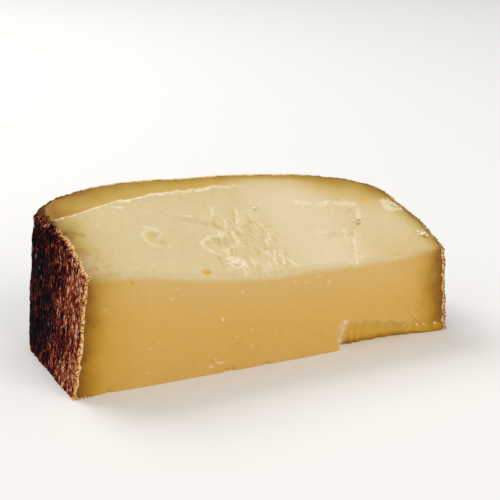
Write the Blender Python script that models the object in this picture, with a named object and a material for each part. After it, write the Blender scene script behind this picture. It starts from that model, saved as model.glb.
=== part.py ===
"""A cut piece of a wheel of aged cheddar with its natural rind, lying on one of its radial cuts.

The wheel's axis runs along X. The piece keeps both of the wheel's flat faces, at the two ends, and
its rim, at the back. A knife took the nose off in front. The lower radial cut is the flat base, and
the upper one is a rough, half broken slope that rises to the rim. Paste and rind are one solid.
"""

import math

import bmesh
import bpy
from mathutils import Matrix, Vector, noise

MM = 0.001

# Driving dimensions of the wheel and of the two cuts. All lengths below are in millimetres, and a
# share is a part of the whole depth or height.
WHEEL_HEIGHT = 120.0  # from one flat rind to the other, the long way of the piece
WHEEL_RADIUS = 150.0  # the rim leans in towards the top as this circle does
RIM_DEPTH = 57.5  # from the nose cut back to the rim, where the piece is deepest
RIM_BULGE = 9.6  # how much less that is half a wheel height to either side
RIM_MIDDLE = 63.0  # where the rim is furthest out
LEFT_CORNER = 10.0  # radius between the left flat face and the rim
RIGHT_CORNER = 11.0  # the same at the right

NOSE_HEIGHT = 27.2  # height of the nose cut, right of the middle
NOSE_RISE = 7.4  # how much taller it is at the left end
NOSE_RISE_AT = 33.0
NOSE_RISE_OVER = 11.0
NOSE_BELLY = 0.9  # the nose cut is this much fuller in its middle
RIM_HEIGHT = 48.2  # height of the upper cut where it meets the rim, at the left end
RIM_FALL = 0.02
RIM_SAG = 0.00055
RIM_DROOP = 1.8  # the rim corner at the left end is this much lower again
DROOP_LENGTH = 26.0

LEFT_FOOT = -1.2  # where the left flat face stands at the base
LEFT_LEAN = 0.155  # it leans in by this slope at the nose
LEFT_LEAN_BACK = 0.045  # and by this one near the rim
RIGHT_FOOT = 120.5
RIGHT_LEAN = 0.08
RIGHT_BELLY = 2.4  # the right flat face swells by this much, most of all half way back
BELLY_DEPTH = 46.0
BELLY_HEIGHT = 35.0
RIND_WEAR = 1.8  # how far the rind has crumbled back at its upper edge
WEAR_HEIGHT = 2.6
WEAR_DEPTH = 30.0
MIDDLE = (59.6, 28.3)  # the middle of the base, which becomes the origin

# The dry zone under the rim: behind a crumbly crest the upper cut steps down.
CREST_LEFT = 0.66  # where the crest lies at the left end, as a share of the depth
CREST_RIGHT = 0.85
CREST_LENGTH = 76.0  # it has faded out this far along
CREST_SWAY = 0.025
CREST_RIDGE = 0.45
CREST_WIDTH = 0.03
BAND_STEP = 1.0
BAND_WIDTH = 0.07

# Where the upper cut tore instead of splitting: ridges that run from the nose to the back.
TEAR_FRONT = 57.0  # middle of the torn strip at the nose
TEAR_BACK = 61.5  # and at its far end
TEAR_HALF_WIDTH = 10.5
TEAR_LENGTH = 33.0
TEAR_EDGE = 0.2  # the strip fades over this share of its size
TEAR_PITCH = 2.7
TEAR_SWAY = 0.8
TEAR_SLANT = 0.06
TEAR_RIDGE = 0.75
TEAR_SINK = 0.26

# Shell-shaped splits: each path is the edge of a scar, which is lower on the path's right-hand side.
LEFT_SCAR = ((37.0, 29.0), (46.5, 26.0), (52.0, 24.0), (53.6, 20.5), (51.8, 16.8))
RIGHT_SCAR = ((82.0, 15.6), (89.0, 15.4), (93.2, 13.6), (92.6, 10.0), (90.4, 6.4))
SCAR_STEP = 0.8
SCAR_REACH = 9.0
SCAR_FADE = 0.15
CRACK = ((99.5, 24.0), (97.6, 18.6), (93.4, 11.6), (89.8, 5.0), (87.2, -1.0))
CRACK_DEPTH = 0.7
CRACK_WIDTH = 1.2
SCOOP = (49.6, 14.6)  # a flake that lifted out beside the torn strip
SCOOP_SIZE = (4.4, 2.5)
SCOOP_DEPTH = 1.2
SCOOP_FLOOR = 0.35
CRESCENT = (31.2, 17.0)  # a curved bite left by the knife, open to the right
CRESCENT_RADIUS = 2.9
CRESCENT_DEPTH = 1.0
CRESCENT_WIDTH = 0.9
CRESCENT_OPENING = 81.0  # degrees to either side

# The broken lower edge at the right end of the nose cut.
CHIP_START = 82.4
CHIP_END = 119.0
CHIP_HEIGHT = 9.0
CHIP_HEIGHT_END = 3.0
CHIP_DEPTH = 3.6
CHIP_CLIFF = 0.04  # the left wall of the break is this steep, as a share of its length
CHIP_RUNOUT = 0.45
CHIP_ROUND = 0.7
CHIP_RIPPLE = 0.45
CHIP_PITCH = 3.2

# Small eyes: place on the base plan, height as a share of the upper cut's, and the three radii.
EYES = {
    "edge_eye": ((39.8, 0.8), 1.0, (1.35, 0.9, 0.8)),
    "corner_eye": ((23.6, 0.1), 1.0, (0.6, 0.6, 0.5)),
    "nose_eye": ((16.8, 0.0), 0.925, (0.7, 0.6, 0.75)),
    "low_eye": ((48.8, -0.9), 0.33, (0.6, 0.6, 0.6)),
    "deep_eye": ((98.9, 18.9), 1.0, (0.75, 0.75, 0.7)),
    "rind_eye": ((109.0, 32.6), 1.0, (1.1, 0.7, 0.5)),
}

SWELL = 0.5  # slow unevenness of a hand-made cut
SWELL_LENGTH = 21.0
NOSE_SWELL = 0.25
NOSE_SWELL_LENGTH = 12.0
NOSE_SKIN = 0.12  # the nose cut's own unevenness fades out over this share of the depth
RIND_RELIEF = 0.45  # grooves of the rind, which run up the flat faces and the rim
RIND_PITCH = 5.0
RIND_LENGTH = 19.0
RIND_LUMPS = 0.36
LUMP_LENGTH = 8.5

# Grid lines of the skin: (first, last, pitch) along the wheel's height, closer where the cut tore.
COLUMN_ZONES = (
    (0.0, 46.0, 2.3), (46.0, 70.0, 0.9), (70.0, 82.0, 2.4), (82.0, 105.0, 1.2), (105.0, 120.0, 2.1),
)
ROW_COUNT = 23
LOW_LAYERS = 6  # in the lower third, where the broken edge is
HIGH_LAYERS = 6
LOW_SHARE = 0.34
TOP_SHARE = 0.955  # the worn edge is above this


def smooth(start, end, value):
    """0 before start, 1 after end, and an even S between them."""
    share = min(1.0, max(0.0, (value - start) / (end - start)))
    return share * share * (3.0 - 2.0 * share)


def bell(distance, width):
    """1 at no distance, and close to 0 from two widths on."""
    return math.exp(-((distance / width) ** 2))


def waves(x, y, length, seed):
    """Soft unevenness between -1 and 1 with about that wavelength."""
    return noise.noise(Vector((x / length, y / length, seed)))


def beside_path(x, y, path):
    """Distance from a path in plan, whether the point is to its right, and the share gone along it."""
    point = Vector((x, y))
    nearest = (math.inf, False, 0.0)
    for step, (start, end) in enumerate(zip(path, path[1:])):
        start = Vector(start)
        along = Vector(end) - start
        share = min(1.0, max(0.0, (point - start).dot(along) / along.length_squared))
        gap = (point - start - along * share).length
        if gap < nearest[0]:
            nearest = (gap, along.cross(point - start) < 0.0, (step + share) / (len(path) - 1))
    return nearest


def rim_lean(z):
    """How far the rim has curved in at a height, as the wheel is round about its axis."""
    return WHEEL_RADIUS - math.sqrt(WHEEL_RADIUS**2 - z**2)


def rim_depth(x):
    """Depth of the piece at its base."""
    return RIM_DEPTH - RIM_BULGE * ((x - RIM_MIDDLE) / (WHEEL_HEIGHT / 2)) ** 2


def nose_height(x):
    return NOSE_HEIGHT + NOSE_RISE / (1.0 + math.exp((x - NOSE_RISE_AT) / NOSE_RISE_OVER))


def rim_height(x):
    droop = RIM_DROOP * (1.0 - smooth(0.0, DROOP_LENGTH, x))
    return RIM_HEIGHT - RIM_FALL * x - RIM_SAG * x * x - droop


def depth_share(x, y):
    """0 at the nose cut and 1 at the rim, on the upper cut."""
    return y / (rim_depth(x) - rim_lean(rim_height(x)))


def band_relief(x, y):
    """The crest under the rim, and the step behind it."""
    crest = CREST_LEFT + (CREST_RIGHT - CREST_LEFT) * math.sqrt(smooth(0.0, CREST_LENGTH, x))
    past = depth_share(x, y) - crest - CREST_SWAY * waves(x, 0.0, 7.0, 3.0)
    fade = 1.0 - smooth(0.75 * CREST_LENGTH, 1.1 * CREST_LENGTH, x)
    return fade * (CREST_RIDGE * bell(past, CREST_WIDTH) - BAND_STEP * smooth(0.0, BAND_WIDTH, past))


def tear_share(x, y):
    """1 inside the torn strip of the upper cut."""
    middle = TEAR_FRONT + (TEAR_BACK - TEAR_FRONT) * y / TEAR_LENGTH
    across = abs(x - middle) / TEAR_HALF_WIDTH + TEAR_EDGE * waves(x, y, 9.0, 5.0)
    back = y / TEAR_LENGTH
    edge = (1.0 - TEAR_EDGE, 1.0 + TEAR_EDGE)
    return (1.0 - smooth(*edge, across)) * (1.0 - smooth(*edge, back))


def tear_relief(x, y):
    """Ridges where the curd pulled apart along the knife's way."""
    bend = TEAR_SWAY * waves(0.5 * x, 0.3 * y, 6.0, 0.3) - TEAR_SLANT * y
    ridge = math.cos(2.0 * math.pi * (x + bend) / TEAR_PITCH)
    strength = 0.55 + 0.45 * waves(x, y, 5.0, 2.2)
    return tear_share(x, y) * (TEAR_RIDGE * strength * ridge - TEAR_SINK)


def scar_relief(x, y, path):
    """A smooth shallow hollow that ends in a step along the path."""
    gap, right, along = beside_path(x, y, path)
    if not right:
        return 0.0
    ends = smooth(0.0, SCAR_FADE, along) * smooth(0.0, SCAR_FADE, 1.0 - along)
    return -SCAR_STEP * ends * (1.0 - smooth(0.0, SCAR_REACH, gap))


def scoop_relief(x, y):
    """The hollow of the lifted flake."""
    off = math.hypot((x - SCOOP[0]) / SCOOP_SIZE[0], (y - SCOOP[1]) / SCOOP_SIZE[1])
    return -SCOOP_DEPTH * (1.0 - smooth(SCOOP_FLOOR, 1.0, off))


def crescent_relief(x, y):
    """The curved bite."""
    across, back = x - CRESCENT[0], y - CRESCENT[1]
    if abs(math.atan2(back, across)) < math.radians(CRESCENT_OPENING):
        return 0.0
    return -CRESCENT_DEPTH * bell(math.hypot(across, back) - CRESCENT_RADIUS, CRESCENT_WIDTH)


def upper_height(x, y):
    """Height of the upper cut above the base: an even slope, and what stands out of it or is sunk in it."""
    height = nose_height(x) + (rim_height(x) - nose_height(x)) * depth_share(x, y)
    height += SWELL * waves(x, y, SWELL_LENGTH, 0.0)
    height += band_relief(x, y) + tear_relief(x, y)
    height += scar_relief(x, y, LEFT_SCAR) + scar_relief(x, y, RIGHT_SCAR)
    height -= CRACK_DEPTH * bell(beside_path(x, y, CRACK)[0], CRACK_WIDTH)
    return height + scoop_relief(x, y) + crescent_relief(x, y)


def chip_depth(x, z):
    """How far the lower edge of the nose cut is broken back."""
    along = (x - CHIP_START) / (CHIP_END - CHIP_START)
    if not 0.0 < along < 1.0:
        return 0.0
    height = CHIP_HEIGHT + (CHIP_HEIGHT_END - CHIP_HEIGHT) * along
    below = max(0.0, 1.0 - z / height)
    cliff = smooth(0.0, CHIP_CLIFF, along)
    ripple = CHIP_RIPPLE * (1.0 - along) * math.cos(2.0 * math.pi * (x - CHIP_START) / CHIP_PITCH)
    return cliff * (CHIP_DEPTH * (1.0 - smooth(CHIP_RUNOUT, 1.0, along)) + ripple) * below**CHIP_ROUND


def nose_relief(x, z):
    """How far the nose cut lies behind its plane."""
    swell = NOSE_SWELL * waves(x, z, NOSE_SWELL_LENGTH, 7.5)
    return swell - NOSE_BELLY * math.sin(math.pi * x / WHEEL_HEIGHT) + chip_depth(x, z)


def rind_relief(place):
    """How far the rind stands out: long upright grooves, and lumps."""
    upright = Vector((1.0 / RIND_PITCH, 1.0 / RIND_PITCH, 1.0 / RIND_LENGTH))
    return RIND_RELIEF * noise.noise(place * upright) + RIND_LUMPS * noise.noise(place / LUMP_LENGTH)


def left_end(y, z, top):
    """Where the left flat face is: it leans in, and its upper edge has crumbled."""
    lean = LEFT_LEAN + (LEFT_LEAN_BACK - LEFT_LEAN) * smooth(0.0, RIM_DEPTH, 1.4 * y)
    wear = RIND_WEAR * smooth(0.0, WEAR_DEPTH, y) * smooth(top - WEAR_HEIGHT, top, z)
    return LEFT_FOOT + lean * z + wear


def right_end(y, z):
    """Where the right flat face is: it leans in, and swells half way back."""
    belly = RIGHT_BELLY * math.sin(math.pi * min(1.0, max(0.0, y / BELLY_DEPTH)))
    return RIGHT_FOOT - RIGHT_LEAN * z + belly * z / BELLY_HEIGHT


def rounded_corner(x, y, centre_x, centre_y, outward):
    """Draws a square corner of the plan in to a round one. outward is -1 at the left and 1 at the right."""
    across = (x - centre_x) * outward
    back = y - centre_y
    if across <= 0.0 or back <= 0.0:
        return x, y
    pull = max(across, back) / math.hypot(across, back)
    return centre_x + outward * across * pull, centre_y + back * pull


def cheese_point(column, row, layer):
    """The place of a point of the skin: column in millimetres, row and layer as shares from 0 to 1."""
    x, y = rounded_corner(column, row * RIM_DEPTH, LEFT_CORNER, RIM_DEPTH - LEFT_CORNER, -1.0)
    x, y = rounded_corner(x, y, WHEEL_HEIGHT - RIGHT_CORNER, RIM_DEPTH - RIGHT_CORNER, 1.0)
    y *= rim_depth(x) / RIM_DEPTH
    lean_share = row**2
    top = upper_height(x, y - lean_share * rim_lean(rim_height(x)))
    z = layer * top
    y -= lean_share * rim_lean(z)
    share = x / WHEEL_HEIGHT
    x = left_end(y, z, top) * (1.0 - share) + right_end(y, z) * share
    y += nose_relief(x, z) * (1.0 - smooth(0.0, NOSE_SKIN, row))
    return Vector((x, y, z))


def even_steps(first, last, pitch):
    """Even steps of about one pitch from the first, without the last."""
    count = max(1, round((last - first) / pitch))
    return [first + (last - first) * step / count for step in range(count)]


def columns():
    cuts = []
    for first, last, pitch in COLUMN_ZONES:
        cuts += even_steps(first, last, pitch)
    return cuts[1:]


def rows():
    return [step / ROW_COUNT for step in range(1, ROW_COUNT)]


def layers():
    low = even_steps(0.0, LOW_SHARE, LOW_SHARE / LOW_LAYERS)
    high = even_steps(LOW_SHARE, TOP_SHARE, (TOP_SHARE - LOW_SHARE) / HIGH_LAYERS)
    return low[1:] + high + [TOP_SHARE]


def gridded_brick():
    """A brick of one wheel height by one by one, cut into a grid all over but for its base."""
    bm = bmesh.new()
    place = Matrix.Diagonal((WHEEL_HEIGHT, 1.0, 1.0, 1.0)) @ Matrix.Translation((0.5, 0.5, 0.5))
    bmesh.ops.create_cube(bm, size=1.0, matrix=place)
    for axis, cuts in zip(Matrix.Identity(3), (columns(), rows(), layers())):
        for cut in cuts:
            skin = [face for face in bm.faces if face.calc_center_median().z > 1e-6]
            parts = set(skin)
            for face in skin:
                parts.update(face.edges)
                parts.update(face.verts)
            bmesh.ops.bisect_plane(bm, geom=list(parts), plane_co=axis * cut, plane_no=axis)
    return bm


def is_rind(place):
    """True on the two ends and the back of the brick."""
    return place.x < 1e-4 or place.x > WHEEL_HEIGHT - 1e-4 or place.y > 1.0 - 1e-6


def shaped_cheese():
    """The brick drawn out to the piece's form, with its rind roughened."""
    bm = gridded_brick()
    rind = [face for face in bm.faces if is_rind(face.calc_center_median())]
    for vert in bm.verts:
        vert.co = cheese_point(*vert.co)
    bm.normal_update()
    outward = {}
    for face in rind:
        for vert in face.verts:
            outward[vert] = outward.get(vert, Vector()) + face.normal
    for vert, direction in outward.items():
        direction.z = 0.0
        vert.co += direction.normalized() * rind_relief(vert.co)
    return bm


def placed(x, y, z):
    """A point in millimetres from the front left foot, as a place of the model in metres."""
    return Vector((x - MIDDLE[0], y - MIDDLE[1], z)) * MM


def cheddar_material():
    made = bpy.data.materials.new("aged cheddar")
    made.use_nodes = True
    finish = made.node_tree.nodes["Principled BSDF"]
    finish.inputs["Base Color"].default_value = (0.62, 0.42, 0.14, 1.0)
    finish.inputs["Roughness"].default_value = 0.45
    finish.inputs["Metallic"].default_value = 0.0
    return made


def cheese():
    """The whole piece as one object."""
    bm = shaped_cheese()
    for vert in bm.verts:
        vert.co = placed(*vert.co)
    for face in bm.faces:
        face.smooth = True
    bmesh.ops.triangulate(bm, faces=[face for face in bm.faces if len(face.verts) == 4])
    mesh = bpy.data.meshes.new("cheese")
    bm.to_mesh(mesh)
    bm.free()
    mesh.materials.append(cheddar_material())
    mesh.set_sharp_from_angle(angle=math.radians(40))
    piece = bpy.data.objects.new("cheese", mesh)
    bpy.context.scene.collection.objects.link(piece)
    return piece


def eye_cutter(name, plan, height_share, radii):
    """A small ellipsoid that hollows an eye out of a cut face."""
    bm = bmesh.new()
    bmesh.ops.create_icosphere(bm, subdivisions=2, radius=1.0, matrix=Matrix.Diagonal((*radii, 1.0)))
    centre = placed(*plan, height_share * upper_height(*plan))
    for vert in bm.verts:
        vert.co = centre + vert.co * MM
    mesh = bpy.data.meshes.new(name)
    bm.to_mesh(mesh)
    bm.free()
    cutter = bpy.data.objects.new(name, mesh)
    cutter.display_type = "WIRE"
    cutter.hide_render = True
    return cutter


def hollow_eyes(piece):
    """Cuts every eye in one Boolean."""
    cutters = bpy.data.collections.new("eye cutters")
    bpy.context.scene.collection.children.link(cutters)
    for name, (plan, height_share, radii) in EYES.items():
        cutters.objects.link(eye_cutter(name, plan, height_share, radii))
    cut = piece.modifiers.new("eyes", "BOOLEAN")
    cut.operation = "DIFFERENCE"
    cut.solver = "EXACT"
    cut.operand_type = "COLLECTION"
    cut.collection = cutters


def main():
    for old in list(bpy.data.objects):
        bpy.data.objects.remove(old)
    hollow_eyes(cheese())


main()
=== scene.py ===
# %% [markdown]
# # A piece of aged cheddar: paste, rind and crumbs
# The piece was cut across a whole wheel, so it has paste inside, a dry natural rind on three sides, and
# three kinds of cut: a smooth one in front, a torn one on top and a flat one below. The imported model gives
# its true form with few faces. This lesson makes the same form again with a fine grid, adds the small
# relief that a knife and a cellar leave, and gives each surface its own finish.

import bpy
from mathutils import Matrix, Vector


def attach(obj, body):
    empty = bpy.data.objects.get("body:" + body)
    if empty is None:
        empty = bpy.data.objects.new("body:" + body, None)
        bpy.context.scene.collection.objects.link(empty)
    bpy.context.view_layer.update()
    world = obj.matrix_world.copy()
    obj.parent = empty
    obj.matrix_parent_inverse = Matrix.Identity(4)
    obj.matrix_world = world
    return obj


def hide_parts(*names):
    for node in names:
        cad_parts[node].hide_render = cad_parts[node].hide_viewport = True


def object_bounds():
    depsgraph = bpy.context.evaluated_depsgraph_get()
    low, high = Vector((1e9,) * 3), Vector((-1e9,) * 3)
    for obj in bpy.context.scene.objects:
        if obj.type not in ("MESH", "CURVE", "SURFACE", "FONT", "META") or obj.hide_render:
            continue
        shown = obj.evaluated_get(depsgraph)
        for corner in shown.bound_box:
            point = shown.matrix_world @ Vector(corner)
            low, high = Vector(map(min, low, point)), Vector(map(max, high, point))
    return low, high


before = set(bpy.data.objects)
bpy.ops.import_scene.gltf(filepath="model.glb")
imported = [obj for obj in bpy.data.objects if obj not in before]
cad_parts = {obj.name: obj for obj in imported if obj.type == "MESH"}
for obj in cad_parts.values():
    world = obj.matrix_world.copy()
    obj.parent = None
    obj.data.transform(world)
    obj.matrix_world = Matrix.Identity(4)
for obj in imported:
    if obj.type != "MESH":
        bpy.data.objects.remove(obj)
cad_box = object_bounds()
print("nodes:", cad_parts)
print("box of the packed model:", [tuple(corner) for corner in cad_box])

# %% What the lesson uses
import functools
import math
import random

import bmesh
import bpy
from mathutils import Matrix, Vector, noise

MM = 0.001
MIDDLE = Vector((59.6, 28.3, 0.0))


def placed(point):
    """A point in millimetres from the front left foot, as a place of the model in metres."""
    return (Vector(point) - MIDDLE) * MM


print("front left foot:", [round(value, 4) for value in placed((0.0, 0.0, 0.0))])

# %% [markdown]
# ## The camera
# A long lens from a little above shows the nose cut almost straight on, the upper cut flattened and the
# left rind as a narrow strip. A turn and a tilt are enough to place it, because it isn't rolled.

# %% Camera
CAMERA_PLACE = (-0.158036, -0.341889, 0.147110)
CAMERA_TILT = 72.2
CAMERA_TURN = -25.7303
CAMERA_LENS = 93.6

camera_data = bpy.data.cameras.new("camera")
camera_data.lens = CAMERA_LENS
camera_data.sensor_width = 36.0
camera = bpy.data.objects.new("camera", camera_data)
camera.location = CAMERA_PLACE
camera.rotation_euler = (math.radians(CAMERA_TILT), 0.0, math.radians(CAMERA_TURN))
bpy.context.scene.collection.objects.link(camera)
bpy.context.scene.camera = camera
print("camera stands", round(Vector(CAMERA_PLACE).length, 3), "m away")

# %% [markdown]
# ## Light and floor
# Food looks fresh in large soft light. A pale sky fills all shadows, one wide lamp behind and above gives
# the upper cut its glow, and a weaker one in front keeps the nose cut warm. The floor is one plain sheet.

# %% World and lamps
SKY_COLOUR = (1.0, 1.0, 1.0, 1.0)
SKY_STRENGTH = 0.54
LAMPS = {
    "back lamp": ((-0.25, 0.75, 0.85), 0.7, 7.8, (1.0, 0.99, 0.97)),
    "front lamp": ((0.35, -0.9, 0.6), 0.8, 6.0, (1.0, 0.98, 0.95)),
}
LAMP_AIM = Vector((0.0, 0.0, 0.02))

world = bpy.data.worlds.new("soft sky")
world.use_nodes = True
world.node_tree.nodes["Background"].inputs["Color"].default_value = SKY_COLOUR
world.node_tree.nodes["Background"].inputs["Strength"].default_value = SKY_STRENGTH
bpy.context.scene.world = world
bpy.context.scene.view_settings.view_transform = "Standard"
for name, (place, size, power, colour) in LAMPS.items():
    lamp_data = bpy.data.lights.new(name, "AREA")
    lamp_data.size = size
    lamp_data.energy = power
    lamp_data.color = colour
    lamp = bpy.data.objects.new(name, lamp_data)
    lamp.location = place
    lamp.rotation_euler = (LAMP_AIM - Vector(place)).to_track_quat("-Z", "Y").to_euler()
    bpy.context.scene.collection.objects.link(lamp)
print("lamps:", ", ".join(LAMPS))

# %% Floor
FLOOR_SIZE = 12.0
FLOOR_COLOUR = (0.84, 0.83, 0.81, 1.0)

floor_mesh = bpy.data.meshes.new("floor")
sheet = bmesh.new()
bmesh.ops.create_grid(sheet, x_segments=1, y_segments=1, size=FLOOR_SIZE / 2)
sheet.to_mesh(floor_mesh)
sheet.free()
floor = bpy.data.objects.new("floor", floor_mesh)
bpy.context.scene.collection.objects.link(floor)
floor_finish = bpy.data.materials.new("pale floor")
floor_finish.use_nodes = True
floor_finish.node_tree.nodes["Principled BSDF"].inputs["Base Color"].default_value = FLOOR_COLOUR
floor_finish.node_tree.nodes["Principled BSDF"].inputs["Roughness"].default_value = 0.8
floor_mesh.materials.append(floor_finish)
print("floor:", FLOOR_SIZE, "m wide")

# %% [markdown]
# ## The form as functions
# Every point of the cheese can be named by three numbers: how far along the wheel's axis it lies, how deep
# it lies between the nose cut and the rim, and how high between the two radial cuts. Functions turn these
# three numbers into a place. It could be sculpted too, but functions keep the form true to its measures,
# and paste and rind then fit each other to a hair.

# %% Soft shapes that all the relief is made of


def smooth(start, end, value):
    """0 before start, 1 after end, and an even S between them."""
    share = min(1.0, max(0.0, (value - start) / (end - start)))
    return share * share * (3.0 - 2.0 * share)


def bell(distance, width):
    """1 at no distance, and close to 0 from two widths on."""
    return math.exp(-((distance / width) ** 2))


def waves(x, y, length, seed):
    """Soft unevenness between -1 and 1 with about that wavelength."""
    return noise.noise(Vector((x / length, y / length, seed)))


def ridges(x, y, seed):
    """Sharp crests between soft valleys, from -1 to 1, one about every unit."""
    return 1.0 - 4.0 * abs(noise.noise(Vector((x, y, seed))))


print("half way of an S:", smooth(0.0, 2.0, 1.0), "and one width off a bell:", round(bell(1.0, 1.0), 2))

# %% Distance from a path


def beside_path(x, y, path):
    """Distance from a path in plan, whether the point is to its right, and the share gone along it."""
    point = Vector((x, y))
    nearest = (math.inf, False, 0.0)
    for step, (start, end) in enumerate(zip(path, path[1:])):
        start = Vector(start)
        along = Vector(end) - start
        share = min(1.0, max(0.0, (point - start).dot(along) / along.length_squared))
        gap = (point - start - along * share).length
        if gap < nearest[0]:
            nearest = (gap, along.cross(point - start) < 0.0, (step + share) / (len(path) - 1))
    return nearest


print("a point below a level path:", beside_path(1.0, -1.0, ((0.0, 0.0), (4.0, 0.0))))

# %% The wheel and its two radial cuts, in millimetres
WHEEL_HEIGHT = 120.0
WHEEL_RADIUS = 150.0
RIM_DEPTH = 57.5
RIM_BULGE = 9.6
RIM_MIDDLE = 63.0
LEFT_CORNER = 10.0
RIGHT_CORNER = 11.0
NOSE_HEIGHT = 27.2
NOSE_RISE = 7.4
NOSE_RISE_AT = 33.0
NOSE_RISE_OVER = 11.0
RIM_HEIGHT = 48.2
RIM_FALL = 0.02
RIM_SAG = 0.00055
RIM_DROOP = 1.8
DROOP_LENGTH = 26.0


def rim_lean(z):
    """How far the rim has curved in at a height, as the wheel is round about its axis."""
    return WHEEL_RADIUS - math.sqrt(WHEEL_RADIUS**2 - z**2)


def rim_depth(x):
    """Depth of the piece at its base."""
    return RIM_DEPTH - RIM_BULGE * ((x - RIM_MIDDLE) / (WHEEL_HEIGHT / 2)) ** 2


def nose_height(x):
    return NOSE_HEIGHT + NOSE_RISE / (1.0 + math.exp((x - NOSE_RISE_AT) / NOSE_RISE_OVER))


def rim_height(x):
    droop = RIM_DROOP * (1.0 - smooth(0.0, DROOP_LENGTH, x))
    return RIM_HEIGHT - RIM_FALL * x - RIM_SAG * x * x - droop


def depth_share(x, y):
    """0 at the nose cut and 1 at the rim, on the upper cut."""
    return y / (rim_depth(x) - rim_lean(rim_height(x)))


print("heights at the nose:", round(nose_height(0.0), 1), "to", round(nose_height(120.0), 1), "mm")

# %% [markdown]
# ## The upper cut
# The knife only started this cut, and the cheese then split by itself. Aged paste breaks like stone: it
# leaves smooth shell-shaped scars with thin pale edges, a strip where the curd tore into ridges, and a
# dry band under the rim that broke off a step lower. Each of these is one small function of the place.

# %% The dry band under the rim
CREST_LEFT = 0.66
CREST_RIGHT = 0.85
CREST_LENGTH = 76.0
CREST_ENDS = (0.75, 1.1)
CREST_SWAY = 0.025
CREST_RIDGE = 0.35
CREST_WIDTH = 0.014
BAND_STEP = 1.0
BAND_WIDTH = 0.055
CREST_RAGS = 0.014


def crest_fade(x):
    """The crest is whole at the left and has faded out right of the middle."""
    return 1.0 - smooth(CREST_ENDS[0] * CREST_LENGTH, CREST_ENDS[1] * CREST_LENGTH, x)


def past_crest(x, y):
    """How far a point lies behind the crest, as a share of the depth."""
    crest = CREST_LEFT + (CREST_RIGHT - CREST_LEFT) * math.sqrt(smooth(0.0, CREST_LENGTH, x))
    sway = CREST_SWAY * waves(x, 0.0, 7.0, 3.0)
    rags = CREST_RAGS * (waves(x, 0.0, 2.6, 3.3) + 0.7 * waves(x, 0.0, 0.9, 5.1))
    return depth_share(x, y) - crest - sway - rags


def band_relief(x, y):
    """The crest under the rim, and the step behind it."""
    past = past_crest(x, y)
    ridge = CREST_RIDGE * (0.7 + 0.8 * waves(x, y, 1.3, 1.7)) * bell(past, CREST_WIDTH)
    return crest_fade(x) * (ridge - BAND_STEP * smooth(0.0, BAND_WIDTH, past))


print("the band lies", round(-band_relief(20.0, 46.0), 2), "mm lower")

# %% The torn strip
TEAR_FRONT = 57.0
TEAR_BACK = 61.5
TEAR_HALF_WIDTH = 10.5
TEAR_LENGTH = 33.0
TEAR_EDGE = 0.2
TEAR_PITCH = 2.7
TEAR_SWAY = 0.8
TEAR_SLANT = 0.06
TEAR_RIDGE = 0.18
TEAR_SINK = 0.26
TEAR_RUNOUT = 3.5
THREAD_DEPTH = 0.06
THREAD_WIDTH = 1.3
THREAD_LENGTH = 6.5
THREAD_BEND = 1.5


def tear_share(x, y):
    """1 inside the torn strip of the upper cut."""
    middle = TEAR_FRONT + (TEAR_BACK - TEAR_FRONT) * y / TEAR_LENGTH
    across = abs(x - middle) / TEAR_HALF_WIDTH + TEAR_EDGE * waves(x, y, 9.0, 5.0)
    edge = (1.0 - TEAR_EDGE, 1.0 + TEAR_EDGE)
    return (1.0 - smooth(*edge, across)) * (1.0 - smooth(*edge, y / TEAR_LENGTH))


def threads(x, y):
    """Thin ridges along the tear, from -1 to 1."""
    slanted = x - TEAR_SLANT * y + THREAD_BEND * waves(x, y, 4.5, 8.3)
    return ridges(slanted / THREAD_WIDTH, y / THREAD_LENGTH, 4.4)


def tear_relief(x, y):
    """Ridges where the curd pulled apart along the knife's way. They run out before the lip."""
    bend = TEAR_SWAY * waves(0.5 * x, 0.3 * y, 6.0, 0.3) - TEAR_SLANT * y
    ridge = math.cos(2.0 * math.pi * (x + bend) / TEAR_PITCH)
    strength = (0.4 + 1.3 * waves(x, y, 7.0, 2.2)) * smooth(0.0, TEAR_RUNOUT, y)
    relief = TEAR_RIDGE * strength * ridge - TEAR_SINK + THREAD_DEPTH * threads(x, y)
    return tear_share(x, y) * relief


print("torn in its middle and beside it:", [round(tear_share(x, 12.0), 2) for x in (58.0, 40.0)])

# %% Single strokes of the tear and of the flakes: both ends and half the width, in plan
PALE_STROKES = [
    (55.1, 32.1, 54.3, 29.0, 0.6), (63.1, 30.9, 59.8, 23.8, 0.5), (57.0, 26.1, 55.3, 22.1, 0.45),
    (53.9, 20.6, 51.6, 18.2, 0.8), (45.0, 15.2, 47.6, 17.4, 0.45), (47.6, 17.4, 52.4, 17.6, 0.45),
    (44.4, 15.0, 44.3, 12.1, 0.5), (44.3, 12.1, 46.8, 9.2, 0.6), (53.4, 6.0, 53.5, 3.6, 0.45),
    (65.5, 10.3, 63.6, 5.6, 0.4), (67.1, 10.0, 66.0, 7.2, 0.45), (66.8, 7.1, 65.0, 2.9, 0.45),
    (56.7, 8.0, 56.3, 4.2, 0.5), (84.0, 32.4, 88.0, 31.6, 1.3), (91.1, 29.6, 95.5, 31.8, 1.1),
    (98.0, 30.4, 102.9, 29.8, 1.4), (103.4, 27.1, 100.9, 21.8, 0.7), (98.3, 21.1, 100.6, 20.7, 0.6),
    (82.5, 16.2, 86.8, 15.5, 0.5), (91.8, 15.4, 91.2, 11.0, 0.7), (88.5, 3.0, 87.8, -0.3, 0.6),
    (29.9, 22.4, 33.4, 20.9, 0.7), (24.8, 33.1, 26.5, 32.6, 0.6),
]
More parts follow.
